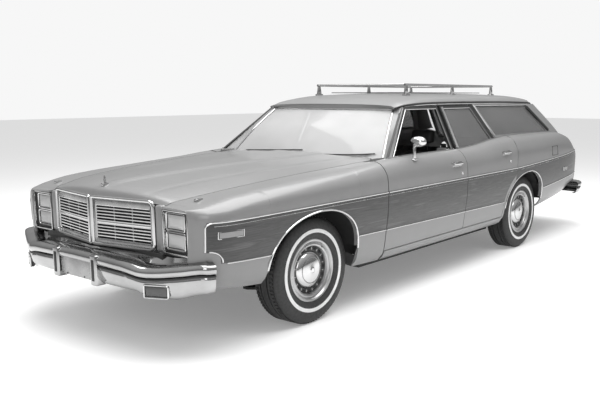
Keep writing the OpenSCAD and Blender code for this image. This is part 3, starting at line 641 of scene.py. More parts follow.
def makeStudio():
    world = bpy.data.worlds.new("paleStudio")
    bpy.context.scene.world = world
    world.use_nodes = True
    tree = world.node_tree
    back = tree.nodes["Background"]
    where = tree.nodes.new("ShaderNodeTexCoord")
    split = tree.nodes.new("ShaderNodeSeparateXYZ")
    ramp = tree.nodes.new("ShaderNodeValToRGB")
    low, high = studio["sky"]
    ramp.color_ramp.elements[0].position, ramp.color_ramp.elements[0].color = 0.0, (*grey(low), 1)
    ramp.color_ramp.elements[1].position, ramp.color_ramp.elements[1].color = 0.75, (*grey(high), 1)
    tree.links.new(where.outputs["Generated"], split.inputs["Vector"])
    tree.links.new(split.outputs["Z"], ramp.inputs["Fac"])
    tree.links.new(ramp.outputs["Color"], back.inputs["Color"])
    back.inputs["Strength"].default_value = studio["skyStrength"]
    plain = tree.nodes.new("ShaderNodeBackground")
    plain.inputs["Color"].default_value = (*grey(studio["backdrop"]), 1)
    seen = tree.nodes.new("ShaderNodeLightPath")
    pick = tree.nodes.new("ShaderNodeMixShader")
    tree.links.new(seen.outputs["Is Camera Ray"], pick.inputs["Fac"])
    tree.links.new(back.outputs["Background"], pick.inputs[1])
    tree.links.new(plain.outputs["Background"], pick.inputs[2])
    tree.links.new(pick.outputs["Shader"], tree.nodes["World Output"].inputs["Surface"])
    makeLight("overhead", (0.5, -0.5, 5.5), (0, 0, 0.6), studio["overheadSize"], studio["overheadPower"])
    makeLight("noseSide", (3.0, -7.0, 3.2), (0, -1.5, 0.7), 3.0, studio["sidePower"])
    floor = bpy.data.objects.new("floor", bpy.data.meshes.new("floor"))
    floor.data.from_pydata([(-40, -40, 0), (40, -40, 0), (40, 40, 0), (-40, 40, 0)], [], [(0, 1, 2, 3)])
    floor.data.materials.append(mottled("paleFloor", studio["floor"], studio["floor"], 0.5, 0.8,
                                        Emission_Color=(1, 1, 1, 1), Emission_Strength=studio["glow"]))
    bpy.context.scene.collection.objects.link(floor)
    bpy.context.scene.view_settings.view_transform = "Standard"


makeCamera()
makeStudio()
print("studio")

# ---- body sides ----

side = {"mouldZ": 0.790, "lowMouldZ": 0.530, "doorZ": 0.372, "sillZ": 0.300, "gap": 0.006, "skin": 0.012,
        "doorIn": 0.812, "coreStep": 0.026, "step": 0.035}
halfWidth = 1.0
fenderY0 = noseY + 0.195
# stations along the side: y, half width, crown height, crown half width, bottom height
sideStations = [
    (fenderY0, halfWidth - 0.198, 0.842, 0.782, 0.420),
    (fenderY0 + 0.022, halfWidth - 0.130, 0.848, 0.800, 0.410),
    (fenderY0 + 0.070, halfWidth - 0.075, 0.858, 0.818, 0.402),
    (fenderY0 + 0.145, halfWidth - 0.042, 0.876, 0.836, 0.394),
    (noseY + 0.500, halfWidth - 0.025, 0.906, 0.852, 0.375),
    (frontHub.y, halfWidth - 0.012, 0.952, 0.868, 0.330),
    (frontHub.y + 0.350, halfWidth - 0.006, 0.974, 0.873, 0.308),
    (doorY0, halfWidth - 0.002, 1.000, 0.878, side["sillZ"]),
    (doorY0 + 0.320, halfWidth, 1.018, 0.879, side["sillZ"]),
    (doorY1, halfWidth, 1.024, 0.877, side["sillZ"]),
    (doorY1 + 0.400, halfWidth, 1.046, 0.867, side["sillZ"]),
    (doorY1 + 0.710, halfWidth - 0.001, 1.074, 0.853, 0.310),
    (rearHub.y, halfWidth - 0.006, 1.090, 0.844, 0.330),
    (rearHub.y + 0.350, halfWidth - 0.014, 1.092, 0.842, 0.358),
    (rearHub.y + 0.850, halfWidth - 0.038, 1.080, 0.838, 0.400),
    (tailY - 0.430, halfWidth - 0.074, 1.030, 0.812, 0.435),
    (quarterY1, halfWidth - 0.112, 0.905, 0.800, 0.470)]
sideColumns = [np.array(c) for c in zip(*sideStations)]
# hood edge stations: y, half width, edge height, middle height, lead of the middle
hoodStations = [
    (noseY + 0.232, 0.578, 0.850, 0.864, 0.080), (noseY + 0.256, 0.590, 0.864, 0.906, 0.074),
    (noseY + 0.340, 0.618, 0.880, 0.934, 0.048), (noseY + 0.500, 0.664, 0.904, 0.952, 0.0),
    (frontHub.y, 0.722, 0.956, 0.990, 0.0), (frontHub.y + 0.350, 0.745, 0.976, 1.004, 0.0),
    (hoodY1, 0.764, 1.000, 1.016, 0.0)]
hoodColumns = [np.array(c) for c in zip(*hoodStations)]


def sideValue(column, y):
    return float(easeThrough(sideColumns[0], sideColumns[column], y))


def hoodValue(column, y):
    return float(easeThrough(hoodColumns[0], hoodColumns[column], y))


lineStore = {}


def sideLine(y, seam=False):
    # (x, z) points of the side at y, from the top down to the bottom edge
    key = (round(y, 5), seam)
    if key not in lineStore:
        w, crownZ, crownX, bottom = (sideValue(k, y) for k in (1, 2, 3, 4))
        rise = crownZ - side["mouldZ"]
        points = [(crownX, crownZ), (w + (crownX - w) * 0.70, side["mouldZ"] + 0.95 * rise),
                  (w + (crownX - w) * 0.36, side["mouldZ"] + 0.80 * rise), (w - 0.006, side["mouldZ"] + 0.45 * rise),
                  (w, side["mouldZ"]), (w - 0.004, 0.660), (w - 0.020, side["lowMouldZ"]),
                  (w - 0.048, bottom + 0.060), (w - 0.095, bottom)]
        if seam:
            points.insert(0, (hoodValue(1, y) + side["gap"] + 0.001, hoodValue(2, y)))
        lineStore[key] = smoothLine(points, 90)
    return lineStore[key]


def cutLine(line, top, low):
    # the stretch of a line between two heights, its ends moved to them
    z = line[:, 1]
    first = 0
    if top < z.max() - 1e-4:
        first = int(np.argmax(z)) + int(np.argmax(z[int(np.argmax(z)):] < top))
    last = len(z) - 1
    below = np.nonzero(z[first:] < low)[0]
    if len(below):
        last = first + below[0]
    cut = line[first:last + 1].copy()
    if first > 0:
        t = (top - line[first, 1]) / (line[first - 1, 1] - line[first, 1])
        cut = np.vstack([line[first] + t * (line[first - 1] - line[first]), cut])
    if len(below) and len(cut) > 1:
        t = (low - cut[-1, 1]) / (cut[-2, 1] - cut[-1, 1])
        cut[-1] = cut[-1] + t * (cut[-2] - cut[-1])
    return cut


def archZ(y, hub, frontR, rearR, grow=0.0):
    # height of the wheel arch's lip at y, or 0 away from it
    reach = (frontR if y < hub.y else rearR) + grow
    t = (y - hub.y) / reach
    return 0.420 + (0.332 + grow) * (1 - t * t) ** 0.4 if abs(t) < 1 else 0.0


def frontArchZ(y, grow=0.0):
    return archZ(y, frontHub, 0.460, 0.365, grow)


def rearArchZ(y, grow=0.0):
    return archZ(y, rearHub, 0.462, 0.354, grow)


def archYs(hub, frontR, rearR, grow=0.0, count=44):
    a, b = hub.y - frontR - grow, hub.y + rearR + grow
    turn = [hub.y - (frontR + grow) * math.cos(t) for t in np.linspace(0, math.pi / 2, count // 2)]
    turn += [hub.y + (rearR + grow) * math.sin(t) for t in np.linspace(0, math.pi / 2, count // 2)[1:]]
    return [a - 0.0004] + [a + 0.0004] + turn[1:-1] + [b - 0.0004] + [b + 0.0004]


def stations(y0, y1, extra=()):
    count = max(2, int(round((y1 - y0) / side["step"])) + 1)
    ys = sorted(list(np.linspace(y0, y1, count)) + [y for y in extra if y0 < y < y1])
    kept = [ys[0]]
    for y in ys[1:]:
        if y - kept[-1] > 0.0003:
            kept.append(y)
    return kept


def sideGrid(ys, topAt, lowAt, count=26, seam=False, move=0.0):
    rows = []
    for y in ys:
        line = sideLine(y, seam)
        cut = evenLine(cutLine(line, topAt(y), lowAt(y)), count)
        rows.append([(p[0], y, p[1]) for p in cut])
    grid = np.array(rows)
    return grid + gridNormals(grid) * move if move else grid


def onSide(y, z, out=0.0):
    line = sideLine(y)
    k = int(np.argmax(line[:, 1] < z))
    t = (z - line[k, 1]) / (line[k - 1, 1] - line[k, 1])
    x = line[k, 0] + t * (line[k - 1, 0] - line[k, 0])
    return (x + out, y, z)


cornerStep = {"y": noseY + 0.250, "z": 0.560, "radius": 0.058}


def fenderLow(y):
    return max(sideValue(4, y), frontArchZ(y))


def fenderWoodLow(y):
    c = cornerStep
    if y < c["y"]:
        return c["z"] + c["radius"]
    if y < c["y"] + c["radius"]:
        return c["z"] + math.sqrt(c["radius"] ** 2 - (y - c["y"]) ** 2)
    return max(sideValue(4, y), frontArchZ(y))


rearSeam = [(0.840, 0.560), (0.900, 0.690), (0.938, 0.790), (0.966, 0.930), (1.000, 1.060), (1.012, 1.120)]


def rearDoorLow(y):
    z = max(side["doorZ"], rearArchZ(y, 0.040))
    if y >= rearSeam[0][0]:
        z = max(z, float(np.interp(y, *zip(*rearSeam))))
    return z


def quarterTop(y):
    z = rearDoorLow(y - side["gap"])
    return min(z, 2.0) if y < 1.018 else 2.0


def quarterLow(y):
    z = max(sideValue(4, y), rearArchZ(y))
    return max(z, 0.520) if y > quarterY1 - 0.06 else z


def crownTop(y):
    return 2.0


def upperMould(y):
    return float(np.interp(y, (-2.64, -1.75, 1.0, 2.115, 2.62), (0.783, 0.790, 0.802, 0.842, 0.868)))


def lowerMould(y):
    return float(np.interp(y, (-2.56, -2.2, -1.1, 0.7, 1.7, 2.29, 2.62), (0.553, 0.541, 0.526, 0.506, 0.560, 0.599, 0.622)))


fenderY1 = doorY0 - side["gap"]
frontArch = archYs(frontHub, 0.460, 0.365)
rearArch = archYs(rearHub, 0.462, 0.354)
cornerYs = [cornerStep["y"] - 0.0004] + [cornerStep["y"] + cornerStep["radius"] * math.sin(t)
                                         for t in np.linspace(0, math.pi / 2, 9)] + [fenderY0 + 0.008, fenderY0 + 0.016]
doorEdges = {"front": (doorY0 + 0.003, doorY1 - 0.003), "rear": (doorY1 + 0.003, 0.996)}
quarterYs = stations(rearHub.y - 0.462 - 0.034 + 0.001, quarterY1,
                     rearArch + archYs(rearHub, 0.462, 0.354, 0.040) + [p[0] for p in rearSeam] + [1.0175, 1.0185]
                     + [quarterY1 - 0.0604, quarterY1 - 0.0596])


def fenderShape():
    ys = stations(fenderY0, fenderY1, frontArch + cornerYs)
    return thickGrid(sideGrid(ys, crownTop, fenderLow, 44, seam=True), side["skin"])


def lipShape(hub, frontR, rearR, reach=0.030):
    # rolled edge of a wheel arch, turned inwards
    ys = archYs(hub, frontR, rearR, -0.0006)[1:-1]
    lift = rearArchZ if hub is rearHub else frontArchZ
    outer = [onSide(y, max(lift(y), 0.33), -0.002) for y in ys]
    inner = [(p[0] - reach, p[1], p[2]) for p in outer]
    return bandShape(outer, inner, 0.004)


def doorShell(which):
    y0, y1 = doorEdges[which]
    low = rearDoorLow if which == "rear" else (lambda y: side["doorZ"])
    extra = archYs(rearHub, 0.462, 0.354, 0.040) + [p[0] for p in rearSeam]
    ys = stations(y0, y1, extra if which == "rear" else ())
    return thickGrid(sideGrid(ys, crownTop, low), side["skin"])


def doorCore(which):
    # the rest of the door's thickness, set back from the skin's edges
    y0, y1 = doorEdges[which]
    back = side["coreStep"]
    low = (lambda y: rearDoorLow(min(y + back + 0.008, 1.0))) if which == "rear" else (lambda y: side["doorZ"])
    y1 = min(y1, 0.975) if which == "rear" else y1
    rings = []
    for y in stations(y0 + back, y1 - back):
        line = evenLine(cutLine(sideLine(y), 2.0, low(y) + 0.004), 16)
        line = [(p[0] - side["skin"] * 0.7, y, p[1]) for p in line]
        rings.append(line + [(side["doorIn"], y, low(y) + 0.006), (side["doorIn"], y, line[0][2] - 0.010)])
    return loftShape(rings)


def loftShape(rings):
    points = [tuple(p) for ring in rings for p in ring]
    n = len(rings[0])
    faces = []
    for j in range(len(rings) - 1):
        for i in range(n):
            k = (i + 1) % n
            faces.append((j * n + i, j * n + k, (j + 1) * n + k, (j + 1) * n + i))
    faces.append(tuple(range(n - 1, -1, -1)))
    faces.append(tuple((len(rings) - 1) * n + i for i in range(n)))
    bm = bmesh.new()
    made = [bm.verts.new(p) for p in points]
    for f in faces:
        bm.faces.new([made[i] for i in f])
    return takeShape(bm)


def woodShape(y0, y1, lowest, extra=()):
    ys = stations(y0, y1, extra)
    low = lambda y: max(lowerMould(y), lowest(y))
    return thickGrid(sideGrid(ys, upperMould, low, 10, move=0.0012), 0.0016)


def mouldPaths(y0, y1, lowest):
    upper = [onSide(y, upperMould(y), 0.001) for y in stations(y0, y1)]
    runs, run = [], []
    for y in stations(y0, y1, frontArch + rearArch):
        z = lowerMould(y)
        if lowest(y) < z:
            run.append(onSide(y, z, 0.001))
        elif run:
            runs.append(run)
            run = []
    return [upper] + [r for r in runs + [run] if len(r) > 1]


def secondMould(y0, y1):
    # thin strip that follows below the upper moulding
    line = [onSide(y, upperMould(y) - 0.021, 0.0015) for y in stations(y0, y1)]
    return barsAlong([line], 0.0030, dullChrome)


def archPath(hub, frontR, rearR, lift):
    ys = archYs(hub, frontR, rearR, -0.003)
    return [onSide(y, max(lift(y, -0.003), 0.345), 0.0) for y in ys[1:-1]]


def bothPieces(name, parts, replaces, bodies=None):
    # the left piece and its mirror image; the nodes and bodies end in _left and _right
    for word, isRight in (("left", False), ("right", True)):
        made = [(mirrorShape(s) if isRight else s, look) for s, look in parts]
        body = f"{bodies}_{word}" if bodies else "body"
        stands = [f"{node}_{word}" for node in replaces]
        makePiece(name + word.capitalize(), made, body, stands)


print("fenders")
slim = {"mould": 0.0062, "lower": 0.0055, "arch": 0.0065}
fenderWood = woodShape(fenderY0 + 0.045, fenderY1 - 0.001, fenderWoodLow, frontArch + cornerYs)
fenderMoulds = mouldPaths(fenderY0 + 0.075, fenderY1, fenderWoodLow)
noseMould = [onSide(fenderY0 + 0.040, z, 0.001) for z in np.linspace(0.622, 0.752, 8)]
noseMould += [onSide(fenderY0 + 0.040 + 0.035 * (1 - math.cos(t)), 0.752 + 0.031 * math.sin(t), 0.001)
              for t in np.linspace(0.2, math.pi / 2, 7)]
cornerMould = [onSide(max(cornerStep["y"] + 0.066 * math.cos(t), fenderY0 + 0.02), 0.556 + 0.066 * math.sin(t), 0.0)
               for t in np.linspace(0.05, math.pi / 2, 9)]
bothPieces("frontFender", [(fenderShape(), paint), (lipShape(frontHub, 0.460, 0.365), paint)], ["front_fender"])
bothPieces("fenderWood", [(fenderWood, wood)], [])
bothPieces("fenderTrim", [secondMould(fenderY0 + 0.075, fenderY1), barsAlong(fenderMoulds, slim["mould"], chrome),
                          barsAlong([noseMould, cornerMould], slim["lower"], chrome),
                          barsAlong([archPath(frontHub, 0.460, 0.365, frontArchZ)], slim["arch"], chrome)],
           [])

print("doors")
for which, body in (("front", "front_door"), ("rear", "rear_door")):
    y0, y1 = doorEdges[which]
    low = rearDoorLow if which == "rear" else (lambda y: side["doorZ"])
    extra = archYs(rearHub, 0.462, 0.354, 0.040) + [p[0] for p in rearSeam] if which == "rear" else ()
    woodEnd = 0.936 if which == "rear" else y1
    bothPieces(which + "DoorWood", [(woodShape(y0, woodEnd - 0.001, low, extra), wood)], [], body)
    bothPieces(which + "DoorTrim", [secondMould(y0, woodEnd), barsAlong(mouldPaths(y0, woodEnd + 0.002, low), slim["mould"], chrome)], [],
               body)

print("quarters")
quarterSkin = thickGrid(sideGrid(quarterYs, quarterTop, quarterLow, 30), side["skin"])
bothPieces("quarterPanel", [(quarterSkin, paint), (lipShape(rearHub, 0.462, 0.354), paint)], ["quarter_panel"])
quarterWoodYs = rearArch + [p[0] for p in rearSeam]


def quarterWoodTop(y):
    return min(upperMould(y), quarterTop(y))


def quarterWood():
    ys = stations(rearHub.y - 0.30, quarterY1 - 0.035, quarterWoodYs)
    low = lambda y: max(lowerMould(y), rearArchZ(y) if abs(y - rearHub.y) < 0.5 else 0, 0)
    ys = [y for y in ys if quarterWoodTop(y) - low(y) > 0.004]
    return thickGrid(sideGrid(ys, quarterWoodTop, low, 10, move=0.0012), 0.0016)


bothPieces("quarterWood", [(quarterWood(), wood)], [])
quarterMoulds = [[onSide(y, upperMould(y), 0.001) for y in stations(0.946, quarterY1 - 0.02)],
                 [onSide(y, lowerMould(y), 0.001) for y in stations(rearHub.y + 0.352, quarterY1 - 0.02)]]
bothPieces("quarterTrim", [secondMould(1.0, quarterY1 - 0.04), barsAlong(quarterMoulds, slim["mould"], chrome),
                           barsAlong([archPath(rearHub, 0.462, 0.354, rearArchZ)], slim["arch"], chrome)],
           [])
sillLine = [(0.958, 0.366), (0.952, 0.352), (0.932, 0.318), (0.905, 0.300), (0.880, 0.296)]
sillGrid = [[(x, y, z) for x, z in sillLine] for y in (doorY0 + 0.004, 0.2, rearHub.y - 0.462 - 0.040)]
makePiece("sills", [(bothSides(thickGrid(np.array(sillGrid), 0.010)), paint)], "body", ())

# ---- windows and doors ----

windows = {"lean": 0.5, "belt": 1.020, "glass": 0.006,
           "frontFrame": [(-0.955, 0.990), (-0.006, 0.990), (0.008, 1.372), (-0.486, 1.372)],
           "frontPane": [(-0.880, 1.000), (-0.036, 1.004), (-0.022, 1.352), (-0.464, 1.352)],
           "rearFrame": [(0.034, 1.000), (0.742, 1.040), (0.722, 1.090), (0.566, 1.372), (0.048, 1.372)],
           "rearPane": [(0.086, 1.022), (0.694, 1.062), (0.684, 1.080), (0.538, 1.352), (0.092, 1.352)],
           "quarterFrame": [(0.758, 1.080), (2.262, 1.066), (1.884, 1.374), (0.602, 1.384)],
           "quarterPane": [(0.788, 1.100), (2.030, 1.094), (1.697, 1.366), (0.642, 1.370)]}


def windowX(y, z):
    x = sideValue(3, doorY0 + 0.3) - windows["lean"] * (z - windows["belt"])
    if y > rearHub.y:
        crown = sideValue(3, doorY0 + 0.3) - windows["lean"] * (sideValue(2, y) - windows["belt"])
        x -= max(0.0, crown - sideValue(3, y))
    return x


def planeRing(outer, hole, front, back):
    # flat frame in the leaning window plane, between the two outlines and the two depths
    bm = bmesh.new()
    loops = [[bm.verts.new((windowX(*p) - d, p[0], p[1])) for p in line]
             for line, d in ((outer, front), (hole, front), (hole, back), (outer, back))]
    n = len(outer)
    for a, b in zip(loops, loops[1:] + loops[:1]):
        for i in range(n):
            k = (i + 1) % n
            bm.faces.new((a[i], a[k], b[k], b[i]))
    return takeShape(bm)


def cutCorners(line, steps=10):
    # more points along each straight run, so that a frame follows the window plane
    out = []
    for a, b in zip(line, line[1:] + line[:1]):
        out += [(a[0] + (b[0] - a[0]) * k / steps, a[1] + (b[1] - a[1]) * k / steps) for k in range(steps)]
    return out


def planeGlass(line, depth, thick=windows["glass"]):
    bm = bmesh.new()
    dense = cutCorners(line)
    front = [bm.verts.new((windowX(*p) - depth, p[0], p[1])) for p in dense]
    back = [bm.verts.new((windowX(*p) - depth - thick, p[0], p[1])) for p in dense]
    bm.faces.new(front)
    bm.faces.new(list(reversed(back)))
    for i in range(len(dense)):
        k = (i + 1) % len(dense)
        bm.faces.new((front[i], front[k], back[k], back[i]))
    return takeShape(bm)


def planePath(line, depth, grow=0.0):
    dense = cutCorners(line)
    middle = np.mean(dense, axis=0)
    path = [(windowX(*p) - depth, p[0], p[1]) for p in dense]
    return path + [path[0]]


def handleParts(y, z):
    # pull handle: a dished base, a flap and a lock
    low = np.array(onSide(y, z))
    x = low[0]
    base = boxShape((x - 0.006, y - 0.072, z - 0.020), (x + 0.006, y + 0.072, z + 0.020), 0.006)
    flap = boxShape((x + 0.004, y - 0.066, z - 0.004), (x + 0.024, y + 0.066, z + 0.016), 0.006)
    lock = latheShape([(0, 0.006), (0.011, 0.005), (0.013, 0.0), (0.013, -0.01), (0, -0.01)],
                      onSide(y + 0.075, z - 0.078, 0.0), 1, 20)
    return [(base, dullChrome), (flap, chrome), (lock, chrome)]


def doorTrimPanel(which):
    y0, y1 = doorEdges[which]
    low, high = 0.400, 0.975
    back = 0.860 if which == "rear" else y1 - 0.04
    x = side["doorIn"] - 0.004
    panel = boxShape((x - 0.004, y0 + 0.036, low), (x + 0.006, min(back, y1 - 0.04), high), 0.004)
    rest = boxShape((x - 0.052, (y0 + back) / 2 - 0.20, 0.735), (x, (y0 + back) / 2 + 0.20, 0.775), 0.014)
    strip = boxShape((x - 0.007, y0 + 0.06, 0.862), (x - 0.002, min(back, y1 - 0.04) - 0.03, 0.874), 0.002)
    crank = boxShape((x - 0.028, y0 + 0.33, 0.655), (x - 0.002, y0 + 0.36, 0.685), 0.008)
    knob = boxShape((x - 0.045, y0 + 0.40, 0.662), (x - 0.020, y0 + 0.42, 0.682), 0.008)
    arm = boxShape((x - 0.026, y0 + 0.345, 0.668), (x - 0.016, y0 + 0.412, 0.678), 0.003)
    return [(panel, trimVinyl), (rest, seatVinyl), (strip, chrome), (crank, chrome), (knob, blackPlastic), (arm, chrome)]


def addDoor(which, frame, pane, handle):
    outer, hole = cutCorners(windows[frame]), cutCorners(windows[pane])
    parts = [(doorShell(which), paint), (doorCore(which), paint), (planeRing(outer, hole, 0.004, 0.026), blackPlastic)]
    parts += [barsAlong([planePath(windows[pane], 0.004)], 0.0045, chrome)]
    y0, y1 = doorEdges[which]
    beltEnd = windows[frame][1][0] - 0.01
    belt = [(windowX(y, 0) * 0 + sideValue(3, y) + 0.002, y, sideValue(2, y) + 0.002)
            for y in np.linspace(windows[frame][0][0] + 0.02, beltEnd, 14)]
    parts += [barsAlong([belt], 0.0055, chrome)]
    if which == "rear":
        post = [(windowX(y, z) + 0.001, y, z) for y, z in zip(np.linspace(0.062, 0.070, 8), np.linspace(1.030, 1.362, 8))]
        parts += [barsAlong([post], 0.012, chrome)]
    parts += handleParts(*handle) + doorTrimPanel(which)
    bothPieces(which + "Door", parts, [which + "_door"], which + "_door")


addDoor("front", "frontFrame", "frontPane", (-0.143, 0.916))
addDoor("rear", "rearFrame", "rearPane", (0.727, 0.950))
for name, pane, body, node in (("frontDoorGlassRight", "frontPane", "front_door_right", "front_door_glass_right"),
                               ("rearDoorGlassRight", "rearPane", "rear_door_right", "rear_door_glass_right"),
                               ("rearDoorGlassLeft", "rearPane", "rear_door_left", "rear_door_glass_left")):
    glass = planeGlass(windows[pane], 0.012)
    makePiece(name, [(mirrorShape(glass) if body.endswith("right") else glass, sideGlass)], body, [node])
quarterFrame = planeRing(cutCorners(windows["quarterFrame"]), cutCorners(windows["quarterPane"]), 0.0, 0.030)
makePiece("quarterGlass", [(bothSides(planeGlass(windows["quarterPane"], 0.010)), sideGlass)], "body",
          ["quarter_glass"])

print("pillars")
shieldRows = [(-0.862, 0.990, 0.786, 0.044), (-0.702, 1.172, 0.716, 0.042), (-0.512, 1.350, 0.630, 0.034)]


def shieldPoint(row, f):
    a = f * math.radians(78)
    return (row[2] * math.sin(a) / math.sin(math.radians(78)), row[0] - row[3] * math.cos(a), row[1])


def shieldGrid(count=25):
    rows = []
    for t in np.linspace(0, 1, 9):
        row = [float(easeThrough((0, 0.5, 1), [r[k] for r in shieldRows], t)) for k in range(4)]
        rows.append([shieldPoint(row, f) for f in np.linspace(-1, 1, count)])
    return np.array(rows)


shield = shieldGrid()
# pale grey windshield glass: painted sky reflection
makePiece("windshield", [(thickGrid(shield, 0.006), screenGlass)], "body", ["windshield"])
frameLine = [(windowX(y, z), y, z) for y, z in zip(np.linspace(-0.930, -0.492, 9), np.linspace(1.008, 1.366, 9))]
pillarBand = bandShape(list(shield[:, -1])[::-1], frameLine[::-1], 0.022)
around = list(shield[0]) + list(shield[1:, -1]) + list(shield[-1][::-1]) + list(shield[-2::-1, 0])
pillarIn = [boxShape((0.745, doorY0 + 0.010, 0.366), (0.802, doorY0 + 0.066, 0.922), 0.006),
            boxShape((0.712, doorY1 - 0.028, 0.366), (0.802, doorY1 + 0.034, 1.028), 0.006)]
middlePost = planeRing([(-0.004, 1.03), (0.090, 1.03), (0.082, 1.384), (-0.010, 1.384)],
                       [(0.020, 1.04), (0.060, 1.04), (0.056, 1.374), (0.014, 1.374)], 0.036, 0.088)
middleFill = planeGlass([(0.012, 1.03), (0.072, 1.03), (0.068, 1.38), (0.008, 1.38)], 0.040)
rearPost = planeGlass([(0.748, 1.052), (0.800, 1.092), (0.650, 1.380), (0.592, 1.380)], 0.036)
rail = planeGlass([(-0.50, 1.352), (1.86, 1.352), (1.84, 1.384), (-0.46, 1.384)], 0.036)
headerFront = boxShape((-0.60, -0.520, 1.318), (0.60, -0.470, 1.345), 0.008)
headerRear = boxShape((-0.60, 1.835, 1.330), (0.60, 1.876, 1.352), 0.008)
tailPost = planeGlass([(1.960, 1.080), (2.250, 1.072), (1.886, 1.370), (1.700, 1.370)], 0.006, 0.070)
pillarParts = [(bothSides(pillarBand), paint), (bothSides(quarterFrame), paint), (bothSides(tailPost), paint),
               (bothSides(joinShapes(*pillarIn)), paint), (bothSides(middleFill), blackPlastic),
               (bothSides(rearPost), blackPlastic), (bothSides(rail), headLining),
               (joinShapes(headerFront, headerRear), headLining)]
makePiece("windowPillars", pillarParts, "body", ["window_pillars"])
pane = windows["quarterPane"]
quarterTrim = [planePath(pane, 0.002)]
slant = [(windowX(y, z) + 0.002, y, z) for y, z in zip(np.linspace(0.768, 0.618, 8), np.linspace(1.090, 1.378, 8))]
shieldTrim = barsAlong([around + around[:1]], 0.010, chrome)
sideTrim = barsAlong([p for line in quarterTrim + [slant] for p in (line, [(-q[0], q[1], q[2]) for q in line])],
                     0.006, chrome)
rubberEdge = [(windowX(y, z) + 0.001, y, z) for y, z in zip(np.linspace(1.985, 1.690, 8), np.linspace(1.108, 1.350, 8))]
rubbers = barsAlong([rubberEdge, [(-q[0], q[1], q[2]) for q in rubberEdge]], 0.014, blackRubber)
makePiece("windowTrim", [shieldTrim, sideTrim, rubbers], "body", ())

print("roof")
roofStations = [(-0.548, 0.664, 1.366, 1.392), (-0.440, 0.676, 1.386, 1.430), (-0.150, 0.686, 1.402, roofTop - 0.010),
                (0.300, 0.688, 1.406, roofTop), (1.000, 0.688, 1.404, roofTop), (1.600, 0.684, 1.396, roofTop - 0.010),
                (1.836, 0.676, 1.388, roofTop - 0.032), (1.890, 0.660, 1.376, roofTop - 0.072)]
roofColumns = [np.array(c) for c in zip(*roofStations)]


def roofLine(y, count=41, lower=0.0):
    w, z, top = (float(easeThrough(roofColumns[0], roofColumns[k], y)) for k in (1, 2, 3))
    rise = top - z
    half = [(w, z), (w - 0.014, z + 0.30 * rise), (w - 0.070, z + 0.58 * rise), (w - 0.240, z + 0.86 * rise), (0, top)]
    line = smoothLine([(-x, h) for x, h in half[:-1]] + [half[-1]] + half[-2::-1], count)
    return [(x, y, h - lower) for x, h in line]


roofYs = np.concatenate([np.linspace(-0.548, -0.44, 5), np.linspace(-0.40, 1.80, 40), np.linspace(1.82, 1.89, 6)])
roofGrid = np.array([roofLine(y) for y in roofYs])
makePiece("roofPanel", [(thickGrid(roofGrid, 0.014), paint)], "body", ["roof_panel"])
brow = bandShape(list(shield[-1]), roofLine(-0.546, shield.shape[1], 0.004), 0.010)
makePiece("roofBrow", [(brow, paint)], "body")
lining = np.array([roofLine(y, 31, 0.022) for y in roofYs[3:-3:3]]) * np.array([0.965, 1, 1])
makePiece("headLining", [(thickGrid(lining, 0.006), headLining)], "body")
drip = [(p[0] + 0.004, p[1], p[2] - 0.004) for p in roofGrid[:, -1]]
dripTrim = [(p[0] + 0.006, p[1], p[2] - 0.016) for p in roofGrid[2:-2, -1]]
mirrorLine = lambda line: [(-p[0], p[1], p[2]) for p in line]
makePiece("dripRails", [barsAlong([drip, mirrorLine(drip)], 0.007, blackRubber),
                        barsAlong([dripTrim, mirrorLine(dripTrim)], 0.0045, chrome)], "body", ())

rack = {"x": 0.478, "y0": -0.140, "y1": 1.390, "bar": 0.0105, "foot": (0.020, 0.034)}


def addRack():
    z = rackTop - 0.011
    rails, feet = [], []
    for s in (-1, 1):
        rails.append([(s * rack["x"], y, z) for y in np.linspace(rack["y0"], rack["y1"], 12)])
        for y in (rack["y0"] + 0.02, (rack["y0"] + rack["y1"]) / 2, rack["y1"] - 0.02):
            base = 1.452 if y < 0.5 else 1.454
            feet.append(boxShape((s * rack["x"] - 0.020, y - 0.036, base), (s * rack["x"] + 0.020, y + 0.036, roofTop - 0.006), 0.008))
            feet.append(prismShape([(y - 0.026, roofTop - 0.012), (y + 0.026, roofTop - 0.012), (y + 0.012, z), (y - 0.012, z)],
                                   "yz", s * rack["x"] - 0.008, s * rack["x"] + 0.008, 0.003))
    for y in (rack["y0"] + 0.02, rack["y1"] - 0.02):
        rails.append([(x, y, z) for x in np.linspace(-rack["x"], rack["x"], 9)])
    ends = [latheShape([(0, 0.0), (0.012, -0.002), (0.012, 0.012), (0, 0.014)], (0, 0, 0), 1, 16)]
    low = roofTop + 0.004
    slats = [rowOf(7, (0.125, 0, 0), (-0.375, (rack["y0"] + rack["y1"]) / 2, low), (0.022, 1.36, 0.007), chrome)]
    makePiece("roofRack", [barsAlong(rails, rack["bar"], chrome, 12), (joinShapes(*feet), chrome)] + slats, "body",
              ["roof_rack"])


addRack()

# ---- hood and nose ----

print("nose")


def hoodPoint(y, f):
    w, edge, middle, lead = (hoodValue(k, y) for k in (1, 2, 3, 4))
    x = w * f
    z = edge + (middle - edge) * (1 - abs(f) ** 2.2)
    back = min(max((y - noseY - 0.34) / 1.5, 0), 1)
    spine = 0.030 + 0.20 * back
    fade = min(max((y - noseY - 0.245) / 0.15, 0), 1)
    z += fade * 0.010 * (1 - smoothStep((abs(x) - spine) / 0.045))
    crease = 0.40 + 0.16 * back
    z -= fade * 0.005 * math.exp(-((abs(x) - crease) / 0.018) ** 2)
    return (x, y - lead * (1 - abs(f)), z)


def smoothStep(t):
    t = min(max(t, 0.0), 1.0)
    return t * t * (3 - 2 * t)


